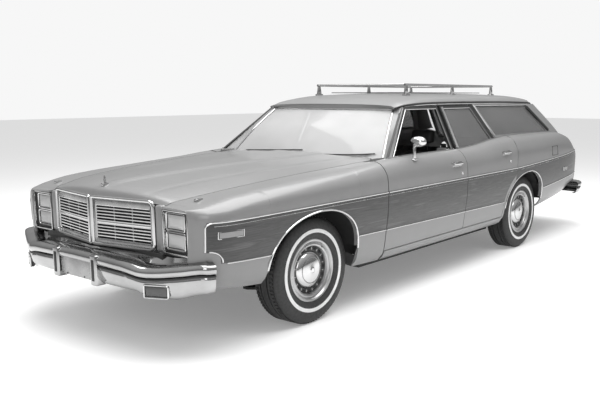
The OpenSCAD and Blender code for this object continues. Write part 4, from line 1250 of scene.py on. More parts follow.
hoodYs = np.concatenate([np.linspace(noseY + 0.232, noseY + 0.256, 6), np.linspace(noseY + 0.268, noseY + 0.5, 10)[0:],
                         np.linspace(noseY + 0.53, hoodY1, 44)])
hoodGrid = np.array([[hoodPoint(y, f) for f in np.linspace(-1, 1, 65)] for y in hoodYs])
ornamentY = noseY + 0.226
ornament = [boxShape((-0.012, ornamentY - 0.020, 0.918), (0.012, ornamentY + 0.022, 0.938), 0.006),
            prismShape([(ornamentY - 0.010, 0.934), (ornamentY + 0.012, 0.934), (ornamentY + 0.006, 0.980),
                        (ornamentY - 0.001, 0.986)], "yz", -0.004, 0.004, 0.0025)]
braces = {"along": (-0.80, -0.34, 0.34, 0.80), "across": (noseY + 0.42, noseY + 0.90, noseY + 1.36, hoodY1 - 0.12),
          "drop": 0.020, "radius": 0.011}


def bracePoint(y, f):
    x, away, z = hoodPoint(y, f)
    return (x, away, z - braces["drop"])


ends = braces["across"]
bracePaths = [[bracePoint(y, f) for y in np.linspace(ends[0], ends[-1], 16)] for f in braces["along"]]
bracePaths += [[bracePoint(y, f) for f in np.linspace(-0.80, 0.80, 17)] for y in ends]
makePiece("hood", [(thickGrid(hoodGrid, 0.014), paint), (joinShapes(*ornament), chrome),
                   barsAlong(bracePaths, braces["radius"], paint)], "hood", ["hood"])

grille = {"width": 0.500, "low": 0.588, "high": 0.868, "turn": 9, "frame": 0.0105, "inner": 0.034, "bars": 10}
grilleStart = (0.006, noseY + 0.122, 0)


def turned(shape):
    return moveShape(shape, turnZ(math.radians(grille["turn"])), grilleStart)


def roundedPath(u0, u1, z0, z1, r, v):
    path = []
    for cu, cz, a0 in ((u1 - r, z1 - r, 90), (u1 - r, z0 + r, 0), (u0 + 0.006, z0 + 0.006, -90), (u0 + 0.006, z1 - 0.006, -180)):
        rr = r if cu == u1 - r else 0.006
        for a in np.linspace(a0, a0 - 90, 6):
            path.append((cu + rr * math.cos(math.radians(a)), v, cz + rr * math.sin(math.radians(a))))
    return path + [path[0]]


def addGrille():
    w, z0, z1, m = grille["width"], grille["low"], grille["high"], grille["inner"]
    inner = (m + 0.004, w - m + 0.010, z0 + m - 0.004, z1 - m - 0.012)
    outerBar, _ = barsAlong([roundedPath(0.010, w, z0, z1, 0.034, 0.0)], grille["frame"], chrome, 10)
    innerBar, _ = barsAlong([roundedPath(inner[0], inner[1], inner[2], inner[3], 0.014, 0.006)], 0.005, chrome)
    plate = frameBoxes(0.008, w - 0.004, z0, z1 - 0.01, 0.0, 0.011, inner)
    # near-black backing and top boxes behind the grille: painted shade inside the grille
    back = boxShape((0.02, 0.034, z0 + 0.01), (w - 0.02, 0.040, 0.820), 0.002)
    top = boxShape((0.02, 0.008, 0.815), (w - 0.03, 0.0115, z1 - 0.01), 0.001)
    step = (inner[3] - inner[2]) / (grille["bars"] + 1)
    length = inner[1] - inner[0]
    middle = (inner[0] + inner[1]) / 2
    slats, _ = rowOf(grille["bars"], (0, 0, step), (middle, 0.0085, inner[2] + step), (length, 0.009, 0.0062), chrome)
    heavy = boxShape((inner[0], 0.002, (inner[2] + inner[3]) / 2 - 0.007), (inner[1], 0.011, (inner[2] + inner[3]) / 2 + 0.007), 0.003)
    posts, _ = rowOf(2, (length / 3, 0, 0), (inner[0] + length / 3, 0.0100, (inner[2] + inner[3]) / 2), (0.006, 0.006, inner[3] - inner[2]), dullChrome)
    parts = [(outerBar, chrome), (innerBar, chrome), (plate, dullChrome), (back, paintedShadeBlack), (top, paintedShadeBlack),
             (slats, chrome), (heavy, chrome), (posts, dullChrome)]
    made = [(bothSides(turned(s)), look) for s, look in parts]
    made.append((boxShape((-0.014, noseY + 0.116, z0 + 0.002), (0.014, noseY + 0.132, z1 - 0.008), 0.004), dullChrome))
    makePiece("grille", made, "body", ["grille"])


def frameBoxes(u0, u1, z0, z1, v0, v1, hole):
    a, b, c, d = hole
    return joinShapes(boxShape((u0, v0, z0), (a, v1, z1), 0.002), boxShape((b, v0, z0), (u1, v1, z1 - 0.012), 0.002),
                      boxShape((a, v0, z0), (b, v1, c), 0.002), boxShape((a, v0, d), (b, v1, z1), 0.002))


addGrille()
lamps = {"x": 0.676, "heights": (0.660, 0.768), "half": (0.080, 0.048), "bay": (0.578, 0.796, 0.584, 0.834),
         "face": noseY + 0.198, "back": noseY + 0.222}


def addLamps():
    x0, x1, z0, z1 = lamps["bay"]
    face, back = lamps["face"], lamps["back"]
    ring = joinShapes(boxShape((x0, face, z0), (x0 + 0.010, back + 0.02, z1), 0.003),
                      boxShape((x1 - 0.009, face, z0), (x1, back + 0.02, z1), 0.003),
                      boxShape((x0, face, z1 - 0.008), (x1, back + 0.02, z1), 0.003),
                      boxShape((x0, face, z0), (x1, back + 0.02, z0 + 0.010), 0.003))
    plate = boxShape((x0 + 0.006, back - 0.004, z0 + 0.006), (x1 - 0.006, back + 0.006, z1 - 0.006), 0.001)
    hx, hz = lamps["half"]
    rims, lenses = [], []
    for z in lamps["heights"]:
        path = []
        for cx, cz, a0 in ((1, 1, 90), (1, -1, 0), (-1, -1, -90), (-1, 1, -180)):
            for a in np.linspace(a0, a0 - 90, 5):
                path.append((lamps["x"] + cx * (hx - 0.012) + 0.012 * math.cos(math.radians(a)), back - 0.008,
                             z + cz * (hz - 0.012) + 0.012 * math.sin(math.radians(a))))
        rims.append(path + [path[0]])
        lenses.append(domedLens(lamps["x"], z, hx - 0.010, hz - 0.009, back - 0.006, 0.008))
    bars, _ = barsAlong(rims, 0.0055, chrome)
    makePiece("headlampBezels", [(bothSides(ring), chrome), (bothSides(bars), chrome), (bothSides(plate), blackPlastic)],
              "body", ())
    makePiece("headlamps", [(bothSides(joinShapes(*lenses)), headLens)], "body", ["headlamps"])


def domedLens(x, z, hx, hz, y, dome):
    rows = []
    for u in np.linspace(-1, 1, 13):
        rows.append([(x + u * hx, y - dome * (1 - u ** 4) * (1 - v ** 4), z - v * hz) for v in np.linspace(-1, 1, 11)])
    return thickGrid(np.array(rows), 0.005)


addLamps()


def addNosePanel():
    shoulder = boxShape((0.508, noseY + 0.200, 0.586), (0.574, noseY + 0.290, 0.852), 0.016, 3)
    gap = boxShape((-0.60, noseY + 0.175, 0.470), (0.60, noseY + 0.190, 0.584), 0.003)
    low = boxShape((0.52, noseY + 0.215, 0.574), (0.792, noseY + 0.262, 0.586), 0.003)
    inner = boxShape((0.55, noseY + 0.250, 0.540), (0.785, noseY + 0.280, 0.830), 0.003)
    support = joinShapes(boxShape((-0.64, noseY + 0.284, 0.516), (-0.36, noseY + 0.310, 0.820), 0.004),
                         boxShape((0.36, noseY + 0.284, 0.516), (0.64, noseY + 0.310, 0.820), 0.004),
                         boxShape((-0.37, noseY + 0.284, 0.790), (0.37, noseY + 0.310, 0.820), 0.004),
                         boxShape((-0.37, noseY + 0.284, 0.516), (0.37, noseY + 0.310, 0.550), 0.004))
    core = boxShape((-0.36, noseY + 0.312, 0.530), (0.36, noseY + 0.352, 0.800), 0.006)
    fins, _ = rowOf(60, (0.0119, 0, 0), (-0.351, noseY + 0.3105, 0.665), (0.002, 0.003, 0.25), exhaustSteel)
    makePiece("nosePanel", [(bothSides(shoulder), paint), (gap, blackPlastic), (bothSides(low), paint),
                            (bothSides(inner), blackPlastic), (support, frameBlack), (core, frameBlack),
                            (fins, exhaustSteel)], "body", ["front_panel"])


addNosePanel()

frontPlan = [(0.0, 0.0), (0.350, 0.003), (0.540, 0.020), (0.640, 0.058), (0.800, 0.128), (0.900, 0.176), (0.944, 0.202),
             (0.962, 0.250)]
bumper = {"shelfZ": 0.571, "xs": (0.0, 0.42, 0.62, 0.80, 0.93, 0.97), "tops": (0.560, 0.552, 0.530, 0.548, 0.566, 0.562),
          "lowXs": (0.0, 0.50, 0.62, 0.75, 0.88, 0.97), "lows": (0.388, 0.386, 0.362, 0.354, 0.384, 0.398)}


def sectionAt(top, low):
    # (depth behind the face, height) from the top shelf round the front to the bottom
    return [(0.110, top + 0.004), (0.070, top + 0.006), (0.036, top + 0.002), (0.014, top - 0.006), (0.003, top - 0.018),
            (0.0, top - 0.032), (0.004, top - 0.048), (0.012, top - 0.058), (0.018, top - 0.064), (0.018, top - 0.072),
            (0.012, top - 0.082), (0.014, (top + low) / 2 - 0.02), (0.020, low + 0.034), (0.030, low + 0.012),
            (0.048, low), (0.070, low + 0.002)]


def planLine(plan, sign, count=61):
    half = smoothLine(plan, count)
    return np.vstack([half[::-1] * np.array([-1, 1]), half[1:]]) if sign else half


def addFrontBumper():
    line = planLine(frontPlan, True)
    ways = np.gradient(line, axis=0)
    ways /= np.linalg.norm(ways, axis=1, keepdims=True)
    rows = []
    crease = []
    for (x, d), w in zip(line, ways):
        top = float(easeThrough(bumper["xs"], bumper["tops"], abs(x)))
        low = float(easeThrough(bumper["lowXs"], bumper["lows"], abs(x)))
        inward = np.array([-w[1], w[0]])
        section = smoothLine(sectionAt(top, low), 40)
        row = [(x + inward[0] * s, noseY + d + inward[1] * s, z) for s, z in section]
        shelf = noseY + min(0.112 + 0.16 * abs(x), 0.192)
        deep = max(shelf - row[0][1], 0.003)
        rise = max(bumper["shelfZ"] - row[0][2], 0.0) if abs(x) < 0.84 else 0.0
        rows.append([(row[0][0], row[0][1] + deep * k, row[0][2] + rise * k) for k in (1.0, 0.66, 0.33)] + row)
        crease.append((x + inward[0] * 0.013, noseY + d + inward[1] * 0.013, top - 0.067))
    # the bumper and its guards use the darker chrome copy: painted shade for their dark reflections
    parts = [(thickGrid(np.array(rows), 0.004), shadedBumperChrome), barsAlong([crease], 0.0055, blackRubber)]
    guards = [boxShape((s * 0.197 - 0.030, noseY - 0.007, 0.378), (s * 0.197 + 0.030, noseY + 0.06, 0.558), 0.010, 3) for s in (-1, 1)]
    pads = [boxShape((s * 0.197 - 0.014, noseY - 0.010, 0.405), (s * 0.197 + 0.014, noseY + 0.01, 0.532), 0.005) for s in (-1, 1)]
    plate = boxShape((-0.155, noseY + 0.006, 0.402), (0.155, noseY + 0.020, 0.545), 0.004)
    holes = [turnedY(latheShape([(0, 0.001), (0.006, 0.001), (0.006, -0.004), (0, -0.004)], (0, 0, 0), 1, 16),
                     (x, noseY + 0.006, 0.472 + z)) for x in (-0.0889, 0.0889) for z in (-0.0603, 0.0603)]
    parts += [(joinShapes(*guards), shadedBumperChrome), (joinShapes(*pads), blackRubber), (plate, dullChrome),
              (joinShapes(*holes), blackPlastic)]
    brackets = boxShape((-0.470, noseY + 0.02, 0.484), (0.470, noseY + 0.110, 0.508), 0.004)
    parts.append((brackets, frameBlack))
    makePiece("frontBumper", parts, "body", ["front_bumper"])


def turnedY(shape, place):
    # a shape that faces +X turned to face -Y and put in place
    return moveShape(shape, [[0, 1, 0], [-1, 0, 0], [0, 0, 1]], place)


def addSignals():
    angle = math.radians(24)
    lens = boxShape((0.012, -0.016, 0.374), (0.140, 0.012, 0.428), 0.008, 3)
    path = roundedPath(0.004, 0.148, 0.366, 0.436, 0.012, -0.012)
    rim, _ = barsAlong([path], 0.0055, chrome)
    place = lambda shape: bothSides(moveShape(shape, turnZ(angle), (0.588, noseY + 0.058, 0)))
    well = boxShape((0.004, -0.012, 0.366), (0.148, 0.010, 0.436), 0.004)
    makePiece("signalLamps", [(place(lens), signalLens), (place(well), blackPlastic), (place(rim), chrome)], "body",
              ["signal_lamps"])


addFrontBumper()
addSignals()

# ---- tail ----

print("tail")
gate = {"half": 0.779, "glassLow": (gateY - 0.278, 0.976), "glassHigh": (1.906, 1.368), "lowHalf": 0.730,
        "highHalf": 0.598, "wood": (0.618, 0.850)}
gateLine = [(0.538, gateY - 0.012), (0.590, gateY - 0.004), (0.640, gateY - 0.0005), (0.800, gateY - 0.0005),
            (0.862, gateY - 0.018), (0.902, gateY - 0.070), (0.938, gateY - 0.160), (0.984, gateY - 0.262)]


def gateY_(z):
    zs, ys = zip(*gateLine)
    return float(easeThrough(zs, ys, z))


def gateGrid(x, z0, z1, count, out=0.0, rows=24):
    return np.array([[(u, gateY_(z) + out, z) for u in np.linspace(-x, x, count)] for z in np.linspace(z1, z0, rows)])


def ringShape(outer, hole, push):
    bm = bmesh.new()
    push = np.array(push)
    loops = [[bm.verts.new(tuple(np.array(p) + k * push)) for p in line] for line, k in ((outer, 0), (hole, 0), (hole, 1), (outer, 1))]
    n = len(outer)
    for a, b in zip(loops, loops[1:] + loops[:1]):
        for i in range(n):
            k = (i + 1) % n
            bm.faces.new((a[i], a[k], b[k], b[i]))
    return takeShape(bm)


def quadAt(lowHalf, lowAt, highHalf, highAt):
    return [(-lowHalf, *lowAt), (lowHalf, *lowAt), (highHalf, *highAt), (-highHalf, *highAt)]


def addTailgate():
    way = np.array(gate["glassHigh"]) - np.array(gate["glassLow"])
    way = way / np.linalg.norm(way)
    out = np.array((0, way[1], -way[0]))
    low, high = np.array(gate["glassLow"]), np.array(gate["glassHigh"])
    hole = quadAt(gate["lowHalf"] - 0.012, low + way * 0.020, gate["highHalf"] - 0.010, high - way * 0.018)
    outer = quadAt(gate["lowHalf"] + 0.028, low - way * 0.010, gate["highHalf"] + 0.018, high + way * 0.006)
    lift = lambda line, d: [tuple(np.array(p) + out * d) for p in line]
    frameRing = ringShape(lift(outer, 0.010), lift(hole, 0.010), -out * 0.022)
    pane = quadAt(gate["lowHalf"] - 0.004, low + way * 0.010, gate["highHalf"] - 0.004, high - way * 0.010)
    bm = bmesh.new()
    a = [bm.verts.new(p) for p in lift(pane, 0.0)]
    b = [bm.verts.new(p) for p in lift(pane, -0.006)]
    bm.faces.new(a)
    bm.faces.new(b[::-1])
    for i in range(4):
        bm.faces.new((a[i], a[(i + 1) % 4], b[(i + 1) % 4], b[i]))
    makePiece("tailgateGlass", [(takeShape(bm), sideGlass)], "tailgate", ["tailgate_glass"])
    z0, z1 = gate["wood"]
    parts = [(thickGrid(gateGrid(gate["half"], 0.538, 0.984, 25, 0, 40), 0.012), paint), (frameRing, paint),
             (thickGrid(gateGrid(0.742, z0, z1, 25, 0.0016), 0.0012), wood),
             (boxShape((-0.752, gateY - 0.062, 0.56), (0.752, gateY - 0.020, 0.84), 0.008), paint),
             (boxShape((-0.700, gateY - 0.070, 0.60), (0.700, gateY - 0.060, 0.82), 0.004), trimVinyl)]
    edge = [(x, gateY_(z) + 0.003, z) for x, z in [(-0.742, z0), (0.742, z0)]]
    sideUp = [(0.742, gateY_(z) + 0.003, z) for z in np.linspace(z0, z1, 16)]
    border = edge + sideUp[1:] + [(-x, y, z) for x, y, z in sideUp[::-1]]
    bright = lift(hole, 0.012)
    parts += [barsAlong([border + border[:1]], 0.0045, chrome), barsAlong([bright + bright[:1]], 0.006, chrome)]
    holder = [(-0.160, 0.655), (0.160, 0.655), (0.160, 0.790), (-0.160, 0.790)]
    rim = [(x, gateY + 0.002, z) for x, z in holder]
    parts += [(boxShape((-0.160, gateY - 0.004, 0.655), (0.160, gateY + 0.0022, 0.790), 0.001), blackPlastic),
              barsAlong([rim + rim[:1]], 0.004, chrome),
              (boxShape((-0.085, gateY - 0.010, 0.812), (0.085, gateY + 0.010, 0.838), 0.006), chrome),
              (boxShape((0.560, gateY - 0.006, 0.700), (0.700, gateY + 0.010, 0.724), 0.006), chrome),
              (boxShape((-0.700, gateY - 0.004, 0.640), (-0.560, gateY + 0.0035, 0.652), 0.0015), chrome)]
    hinge = [latheShape([(0, 0.03), (0.010, 0.028), (0.010, -0.028), (0, -0.03)], (0, 0, 0), 1, 16)]
    for z in (0.60, 0.80):
        up = moveShape(hinge[0], [[0, 0, 1], [0, 1, 0], [1, 0, 0]], (0.786, gateY - 0.006, z))
        parts.append((up, chrome))
    makePiece("tailgate", parts, "tailgate", ["tailgate"])


addTailgate()


def addTailLamps():
    lens = boxShape((0.806, gateY - 0.014, 0.592), (0.866, gateY + 0.004, 0.856), 0.006, 3)
    back = boxShape((0.800, gateY - 0.019, 0.584), (0.872, gateY - 0.008, 0.862), 0.002)
    box = [(0.804, 0.588), (0.868, 0.588), (0.868, 0.858), (0.804, 0.858)]
    rim = [(x, gateY + 0.001, z) for x, z in box]
    bars, _ = barsAlong([rim + rim[:1], [(0.806, gateY + 0.003, 0.722), (0.866, gateY + 0.003, 0.722)]], 0.0045, chrome)
    white = boxShape((0.812, gateY - 0.002, 0.690), (0.860, gateY + 0.006, 0.716), 0.004)
    makePiece("tailLamps", [(bothSides(lens), tailLens), (bothSides(back), blackPlastic), (bothSides(bars), chrome),
                            (bothSides(white), headLens)], "body", ["tail_lamps"])


addTailLamps()
rearPlan = [(0.0, 0.0), (0.420, 0.004), (0.700, 0.014), (0.860, 0.044), (0.918, 0.096), (0.934, 0.176), (0.936, 0.240)]


def addRearBumper():
    line = planLine(rearPlan, True)
    ways = np.gradient(line, axis=0)
    ways /= np.linalg.norm(ways, axis=1, keepdims=True)
    rows, crease = [], []
    for (x, d), w in zip(line, ways):
        inward = np.array([-w[1], w[0]])
        section = smoothLine(sectionAt(0.508, 0.374), 36)
        row = [(x + inward[0] * s, tailY - d - inward[1] * s, z) for s, z in section]
        deep = max(row[0][1] - (tailY - 0.205), 0.003)
        rows.append([(row[0][0], row[0][1] - deep * k, row[0][2]) for k in (1.0, 0.66, 0.33)] + row)
        crease.append((x + inward[0] * 0.013, tailY - d - inward[1] * 0.013, 0.441))
    guards = [boxShape((s * 0.42 - 0.030, tailY - 0.06, 0.380), (s * 0.42 + 0.030, tailY + 0.006, 0.514), 0.010, 3) for s in (-1, 1)]
    pads = [boxShape((s * 0.42 - 0.014, tailY - 0.01, 0.400), (s * 0.42 + 0.014, tailY + 0.009, 0.494), 0.005) for s in (-1, 1)]
    step = boxShape((-0.60, tailY - 0.150, 0.498), (-0.03, tailY - 0.055, 0.5115), 0.003)
    stepB = boxShape((0.03, tailY - 0.150, 0.498), (0.60, tailY - 0.055, 0.5115), 0.003)
    ball = moveShape(latheShape([(0.0127, 0.5), (0.030, 0.5), (0.030, 0.513), (0.0127, 0.513)], (0, 0, 0), 1, 32, True),
                     [[0, 0, 1], [0, 1, 0], [1, 0, 0]], (0, tailY - 0.074, 0))
    ribs, _ = rowOf(9, (0, 0.009, 0), (-0.31, tailY - 0.140, 0.5125), (0.52, 0.004, 0.003), blackRubber)
    ribsB, _ = rowOf(9, (0, 0.009, 0), (0.31, tailY - 0.140, 0.5125), (0.52, 0.004, 0.003), blackRubber)
    # the bumper and its guards use the darker chrome copy: painted shade for their dark reflections
    parts = [(thickGrid(np.array(rows[::-1]), 0.004), shadedBumperChrome), barsAlong([crease], 0.0055, blackRubber),
             (joinShapes(*guards), shadedBumperChrome), (joinShapes(*pads), blackRubber), (joinShapes(step, stepB), dullChrome),
             (ball, dullChrome), (joinShapes(ribs, ribsB), blackRubber),
             (boxShape((-0.60, tailY - 0.215, 0.430), (0.60, tailY - 0.150, 0.500), 0.006), frameBlack)]
    makePiece("rearBumper", parts, "body", ["rear_bumper"])


addRearBumper()


def addMirror():
    head = moveShape(latheShape([(0, 0.050), (0.016, 0.0485), (0.030, 0.040), (0.0385, 0.026), (0.0415, 0.010),
                                 (0.0415, 0.001), (0.039, -0.002), (0.036, 0.003), (0, 0.003)], (0, 0, 0), 1, 48),
                     [[0, 1.6, 0], [-1, 0, 0], [0, 0, 0.95]], (0.970, -0.667, 1.124))
    face = moveShape(latheShape([(0, 0.0), (0.0365, 0.0), (0.0365, -0.003), (0, -0.003)], (0, 0, 0), 1, 48),
                     [[0, 1.6, 0], [-1, 0, 0], [0, 0, 0.95]], (0.970, -0.667, 1.124))
    foot = boxShape((0.926, -0.716, 0.984), (0.964, -0.664, 0.996), 0.005, 3)
    stalk = prismShape([(-0.708, 0.990), (-0.672, 0.990), (-0.680, 1.090), (-0.700, 1.090)], "yz", 0.938, 0.952, 0.004)
    makePiece("sideMirror", [(joinShapes(head, foot, stalk), chrome), (face, dullChrome)], "front_door_left",
              ["side_mirror"])


addMirror()

# ---- wheels ----

print("wheels")
toSide = [[0, 0, 1], [1, 0, 0], [0, 1, 0]]
treadEdge = [(0.203, 0.0885), (0.212, 0.0965), (0.232, 0.1035), (0.2445, 0.1048), (0.272, 0.1048), (0.300, 0.1035),
             (0.320, 0.0985), (0.3345, 0.0905), (0.3410, 0.0820), (0.3420, 0.0765)]
treadMiddle = [(0.3420, 0.0520), (0.3480, 0.0505), (0.3495, 0.0330), (0.3420, 0.0315), (0.3420, 0.0250), (0.3500, 0.0235)]


def addWheel(name, hub, side_, body, tyreNode, wheelNode):
    centre = (side_ * hub.x, hub.y, hub.z)
    half = treadEdge + treadMiddle
    profile = half + [(r, -a) for r, a in half[::-1]] + [(0.216, -0.080), (0.216, 0.080)]
    wall = [(0.2455, 0.1035), (0.2465, 0.1064), (0.2690, 0.1064), (0.2700, 0.1035)]
    rubber = [(latheShape(profile, centre, side_, 96, True), tyreRubber), (latheShape(wall, centre, side_, 96, True), whiteWall)]
    for lean, height in ((0.35, 0.0640), (-0.35, -0.0640)):
        blocks, _ = ringOf(84, 0.3445, (0.0100, 0.0175, 0.0215), tyreRubber, lean, height)
        rubber.append((moveShape(blocks, toSide, centre), tyreRubber))
    sipes, _ = ringOf(72, 0.3440, (0.0110, 0.0190, 0.040), tyreRubber, 0.2, 0.0)
    rubber.append((moveShape(sipes, toSide, centre), tyreRubber))
    makePiece(name + "Tyre", rubber, body, [tyreNode], 30)
    trim = [(0.2035, 0.0850), (0.2045, 0.0915), (0.1990, 0.0945), (0.1905, 0.0925), (0.1840, 0.0855), (0.1805, 0.0800),
            (0.1765, 0.0835), (0.1690, 0.0855), (0.1590, 0.0815), (0.1545, 0.0720), (0.1530, 0.0560), (0.1700, 0.0520),
            (0.1920, 0.0790)]
    disc = [(0.1540, 0.0540), (0.1400, 0.0600), (0.1230, 0.0550), (0.1180, 0.0480), (0.0500, 0.0480), (0.0500, 0.0400),
            (0.1500, 0.0440)]
    barrel = [(0.2020, -0.0890), (0.1910, -0.0800), (0.1800, -0.0600), (0.1800, 0.0560), (0.1910, 0.0800), (0.2000, 0.0830),
              (0.1960, 0.0860), (0.1720, 0.0560), (0.1720, -0.0620), (0.1840, -0.0910)]
    cap = [(0, 0.0968), (0.0140, 0.0962), (0.0190, 0.0925), (0.0240, 0.0912), (0.0460, 0.0895), (0.0800, 0.0825),
           (0.1030, 0.0735), (0.1150, 0.0640), (0.1200, 0.0545), (0.1180, 0.0490), (0, 0.0490)]
    groove = [(0.0800, 0.0815), (0.0830, 0.0838), (0.0870, 0.0815)]
    parts = [(latheShape(trim, centre, side_, 96, True), wheelSilver), (latheShape(disc, centre, side_, 72, True), wheelDark),
             (latheShape(barrel, centre, side_, 72, True), wheelSilver), (latheShape(cap, centre, side_, 72), chrome),
             (latheShape(groove, centre, side_, 72, True), dullChrome)]
    # the first ring is near-black slots: painted shade in the wheel's openings
    for count, radius, size, look in ((16, 0.1385, (0.013, 0.018, 0.003), paintedShadeBlack), (16, 0.1385, (0.016, 0.005, 0.006), wheelSilver)):
        turn = 0.0 if look == paintedShadeBlack else math.pi / 16
        made, _ = ringOf(count, radius, size, look, 0.0, 0.0)
        spin = moveShape(made, turnZ(turn))
        parts.append((moveShape(spin, toSide, (centre[0] + side_ * 0.0595, centre[1], centre[2])), look))
    valve = latheShape([(0, 0.0930), (0.0035, 0.0920), (0.0045, 0.0780), (0, 0.0780)], (centre[0], centre[1] + 0.1, centre[2] + 0.136), side_, 16)
    parts.append((valve, blackRubber))
    makePiece(name + "Wheel", parts, body, [wheelNode], 30)


for end, hub in (("front", frontHub), ("rear", rearHub)):
    for s, word in ((1, "left"), (-1, "right")):
        addWheel(end + word.capitalize(), hub, s, f"wheel_{end}_{word}", f"tyre_{end}_{word}", f"wheel_{end}_{word}")

# ---- cowl and inside ----

print("inside")


def addCowl():
    y0 = doorY0 + 0.004
    doorIn = side["doorIn"] - 0.006
    trough = prismShape([(y0, 0.930), (hoodY1 + 0.016, 0.930), (hoodY1 + 0.062, 0.976), (hoodY1 + 0.046, 0.986),
                         (hoodY1 + 0.008, 0.946), (y0, 0.946)], "yz", -0.764, 0.764, 0.002)
    tops = [boxShape((0.756, y0, 0.930), (doorIn, hoodY1 + 0.050, 0.962), 0.003),
            boxShape((0.772, y0, 0.960), (doorIn, hoodY1 + 0.050, 0.990), 0.003),
            boxShape((0.782, hoodY1 - 0.090, 0.988), (doorIn, hoodY1 + 0.050, 1.012), 0.004)]
    # vent slots are near-black blocks: painted shade in the openings
    vents, _ = rowOf(40, (0.030, 0, 0), (-0.585, hoodY1 + 0.036, 0.966), (0.016, 0.030, 0.010), paintedShadeBlack)
    wipers = []
    for x in (0.12, -0.52):
        foot = (x, hoodY1 + 0.055, 0.990)
        f = [(x + d) / 0.786 for d in (0.0, 0.22, 0.44)]
        arm = [shieldPoint(shieldRow(t), g) for t, g in zip((0.03, 0.055, 0.085), f)]
        wipers.append([foot] + [(p[0], p[1] - 0.012, p[2] + 0.006) for p in arm])
        blade = [shieldPoint(shieldRow(0.035 + 0.075 * k), (x + 0.06 + 0.46 * k) / 0.786) for k in np.linspace(0, 1, 8)]
        wipers.append([(p[0], p[1] - 0.008, p[2] + 0.003) for p in blade])
    makePiece("cowlPanel", [(trough, paint), (bothSides(joinShapes(*tops)), paint), (vents, paintedShadeBlack),
                            barsAlong(wipers, 0.0045, blackPlastic)], "body", ["cowl_panel"])


def shieldRow(t):
    return [float(easeThrough((0, 0.5, 1), [r[k] for r in shieldRows], t)) for k in range(4)]


addCowl()


def addDash():
    top = prismShape([(-1.080, 0.700), (-1.080, 0.922), (-0.900, 0.922), (-0.852, 0.962), (-0.790, 0.970), (-0.740, 0.944),
                      (-0.735, 0.860), (-0.790, 0.760), (-0.860, 0.700)], "yz", -0.688, 0.688, 0.010, 3)
    face = boxShape((-0.660, -0.742, 0.862), (0.660, -0.732, 0.935), 0.003)
    strip = boxShape((-0.665, -0.734, 0.852), (0.665, -0.728, 0.860), 0.002)
    dials = []
    for x, r in ((0.30, 0.032), (0.44, 0.032), (0.20, 0.018), (0.54, 0.018)):
        dials.append(moveShape(latheShape([(0, 0.004), (r - 0.004, 0.004), (r - 0.002, 0.009), (r, 0.008), (r, -0.002), (0, -0.002)],
                                          (0, 0, 0), 1, 32), [[0, 1, 0], [1, 0, 0], [0, 0, 1]], (x, -0.734, 0.900)))
    box = boxShape((-0.62, -0.736, 0.872), (-0.20, -0.730, 0.928), 0.003)
    knobs, _ = rowOf(4, (0.045, 0, 0), (-0.06, -0.728, 0.885), (0.016, 0.018, 0.016), dullChrome)
    tilt = math.radians(62)
    lean = [[1, 0, 0], [0, math.cos(tilt), math.sin(tilt)], [0, -math.sin(tilt), math.cos(tilt)]]
    hub = tuple(frame["record"]["behaviour"]["joints"][0].get("none", (0.37, -0.49, 0.925)))
    column = moveShape(moveShape(latheShape([(0, -0.036), (0.028, -0.038), (0.030, -0.10), (0.034, -0.33), (0, -0.33)], (0, 0, 0), 1, 32),
                                 [[0, 0, -1], [0, 1, 0], [1, 0, 0]]), lean, hub)
    stalk, _ = barsAlong([[(hub[0] + 0.02, hub[1] - 0.06, hub[2] - 0.03), (hub[0] + 0.15, hub[1] - 0.075, hub[2] + 0.02)]], 0.005, chrome)
    makePiece("dashboard", [(top, trimVinyl), (face, blackPlastic), (strip, chrome), (joinShapes(*dials), dullChrome),
                            (box, trimVinyl), (knobs, dullChrome), (column, blackPlastic), (stalk, chrome)], "body",
              ["dashboard"])
    circle = [(0.190 * math.cos(a), 0.190 * math.sin(a), 0) for a in np.linspace(0, 2 * math.pi, 73)]
    ring = [(0.095 * math.cos(a), 0.095 * math.sin(a), -0.006) for a in np.linspace(math.pi, 2 * math.pi, 30)]
    rim, _ = barsAlong([circle], 0.0115, blackPlastic, 16)
    horn, _ = barsAlong([ring], 0.004, chrome)
    spokes = joinShapes(boxShape((0.030, -0.016, -0.013), (0.186, 0.016, -0.002), 0.004),
                        boxShape((-0.186, -0.016, -0.013), (-0.030, 0.016, -0.002), 0.004))
    pad = moveShape(latheShape([(0, 0.004), (0.030, 0.003), (0.044, -0.004), (0.046, -0.026), (0, -0.026)], (0, 0, 0), 1, 40),
                    [[0, 0, -1], [0, 1, 0], [1, 0, 0]])
    parts = [(rim, blackPlastic), (horn, chrome), (spokes, dullChrome), (pad, blackPlastic)]
    makePiece("steeringWheel", [(moveShape(s, lean, hub), look) for s, look in parts], "steering_wheel",
              ["steering_wheel"])


addDash()

cushions = {"voxel": 0.013, "pressure": 4.0, "frames": 14, "cap": 0.012, "channel": 0.009, "wide": 0.012}


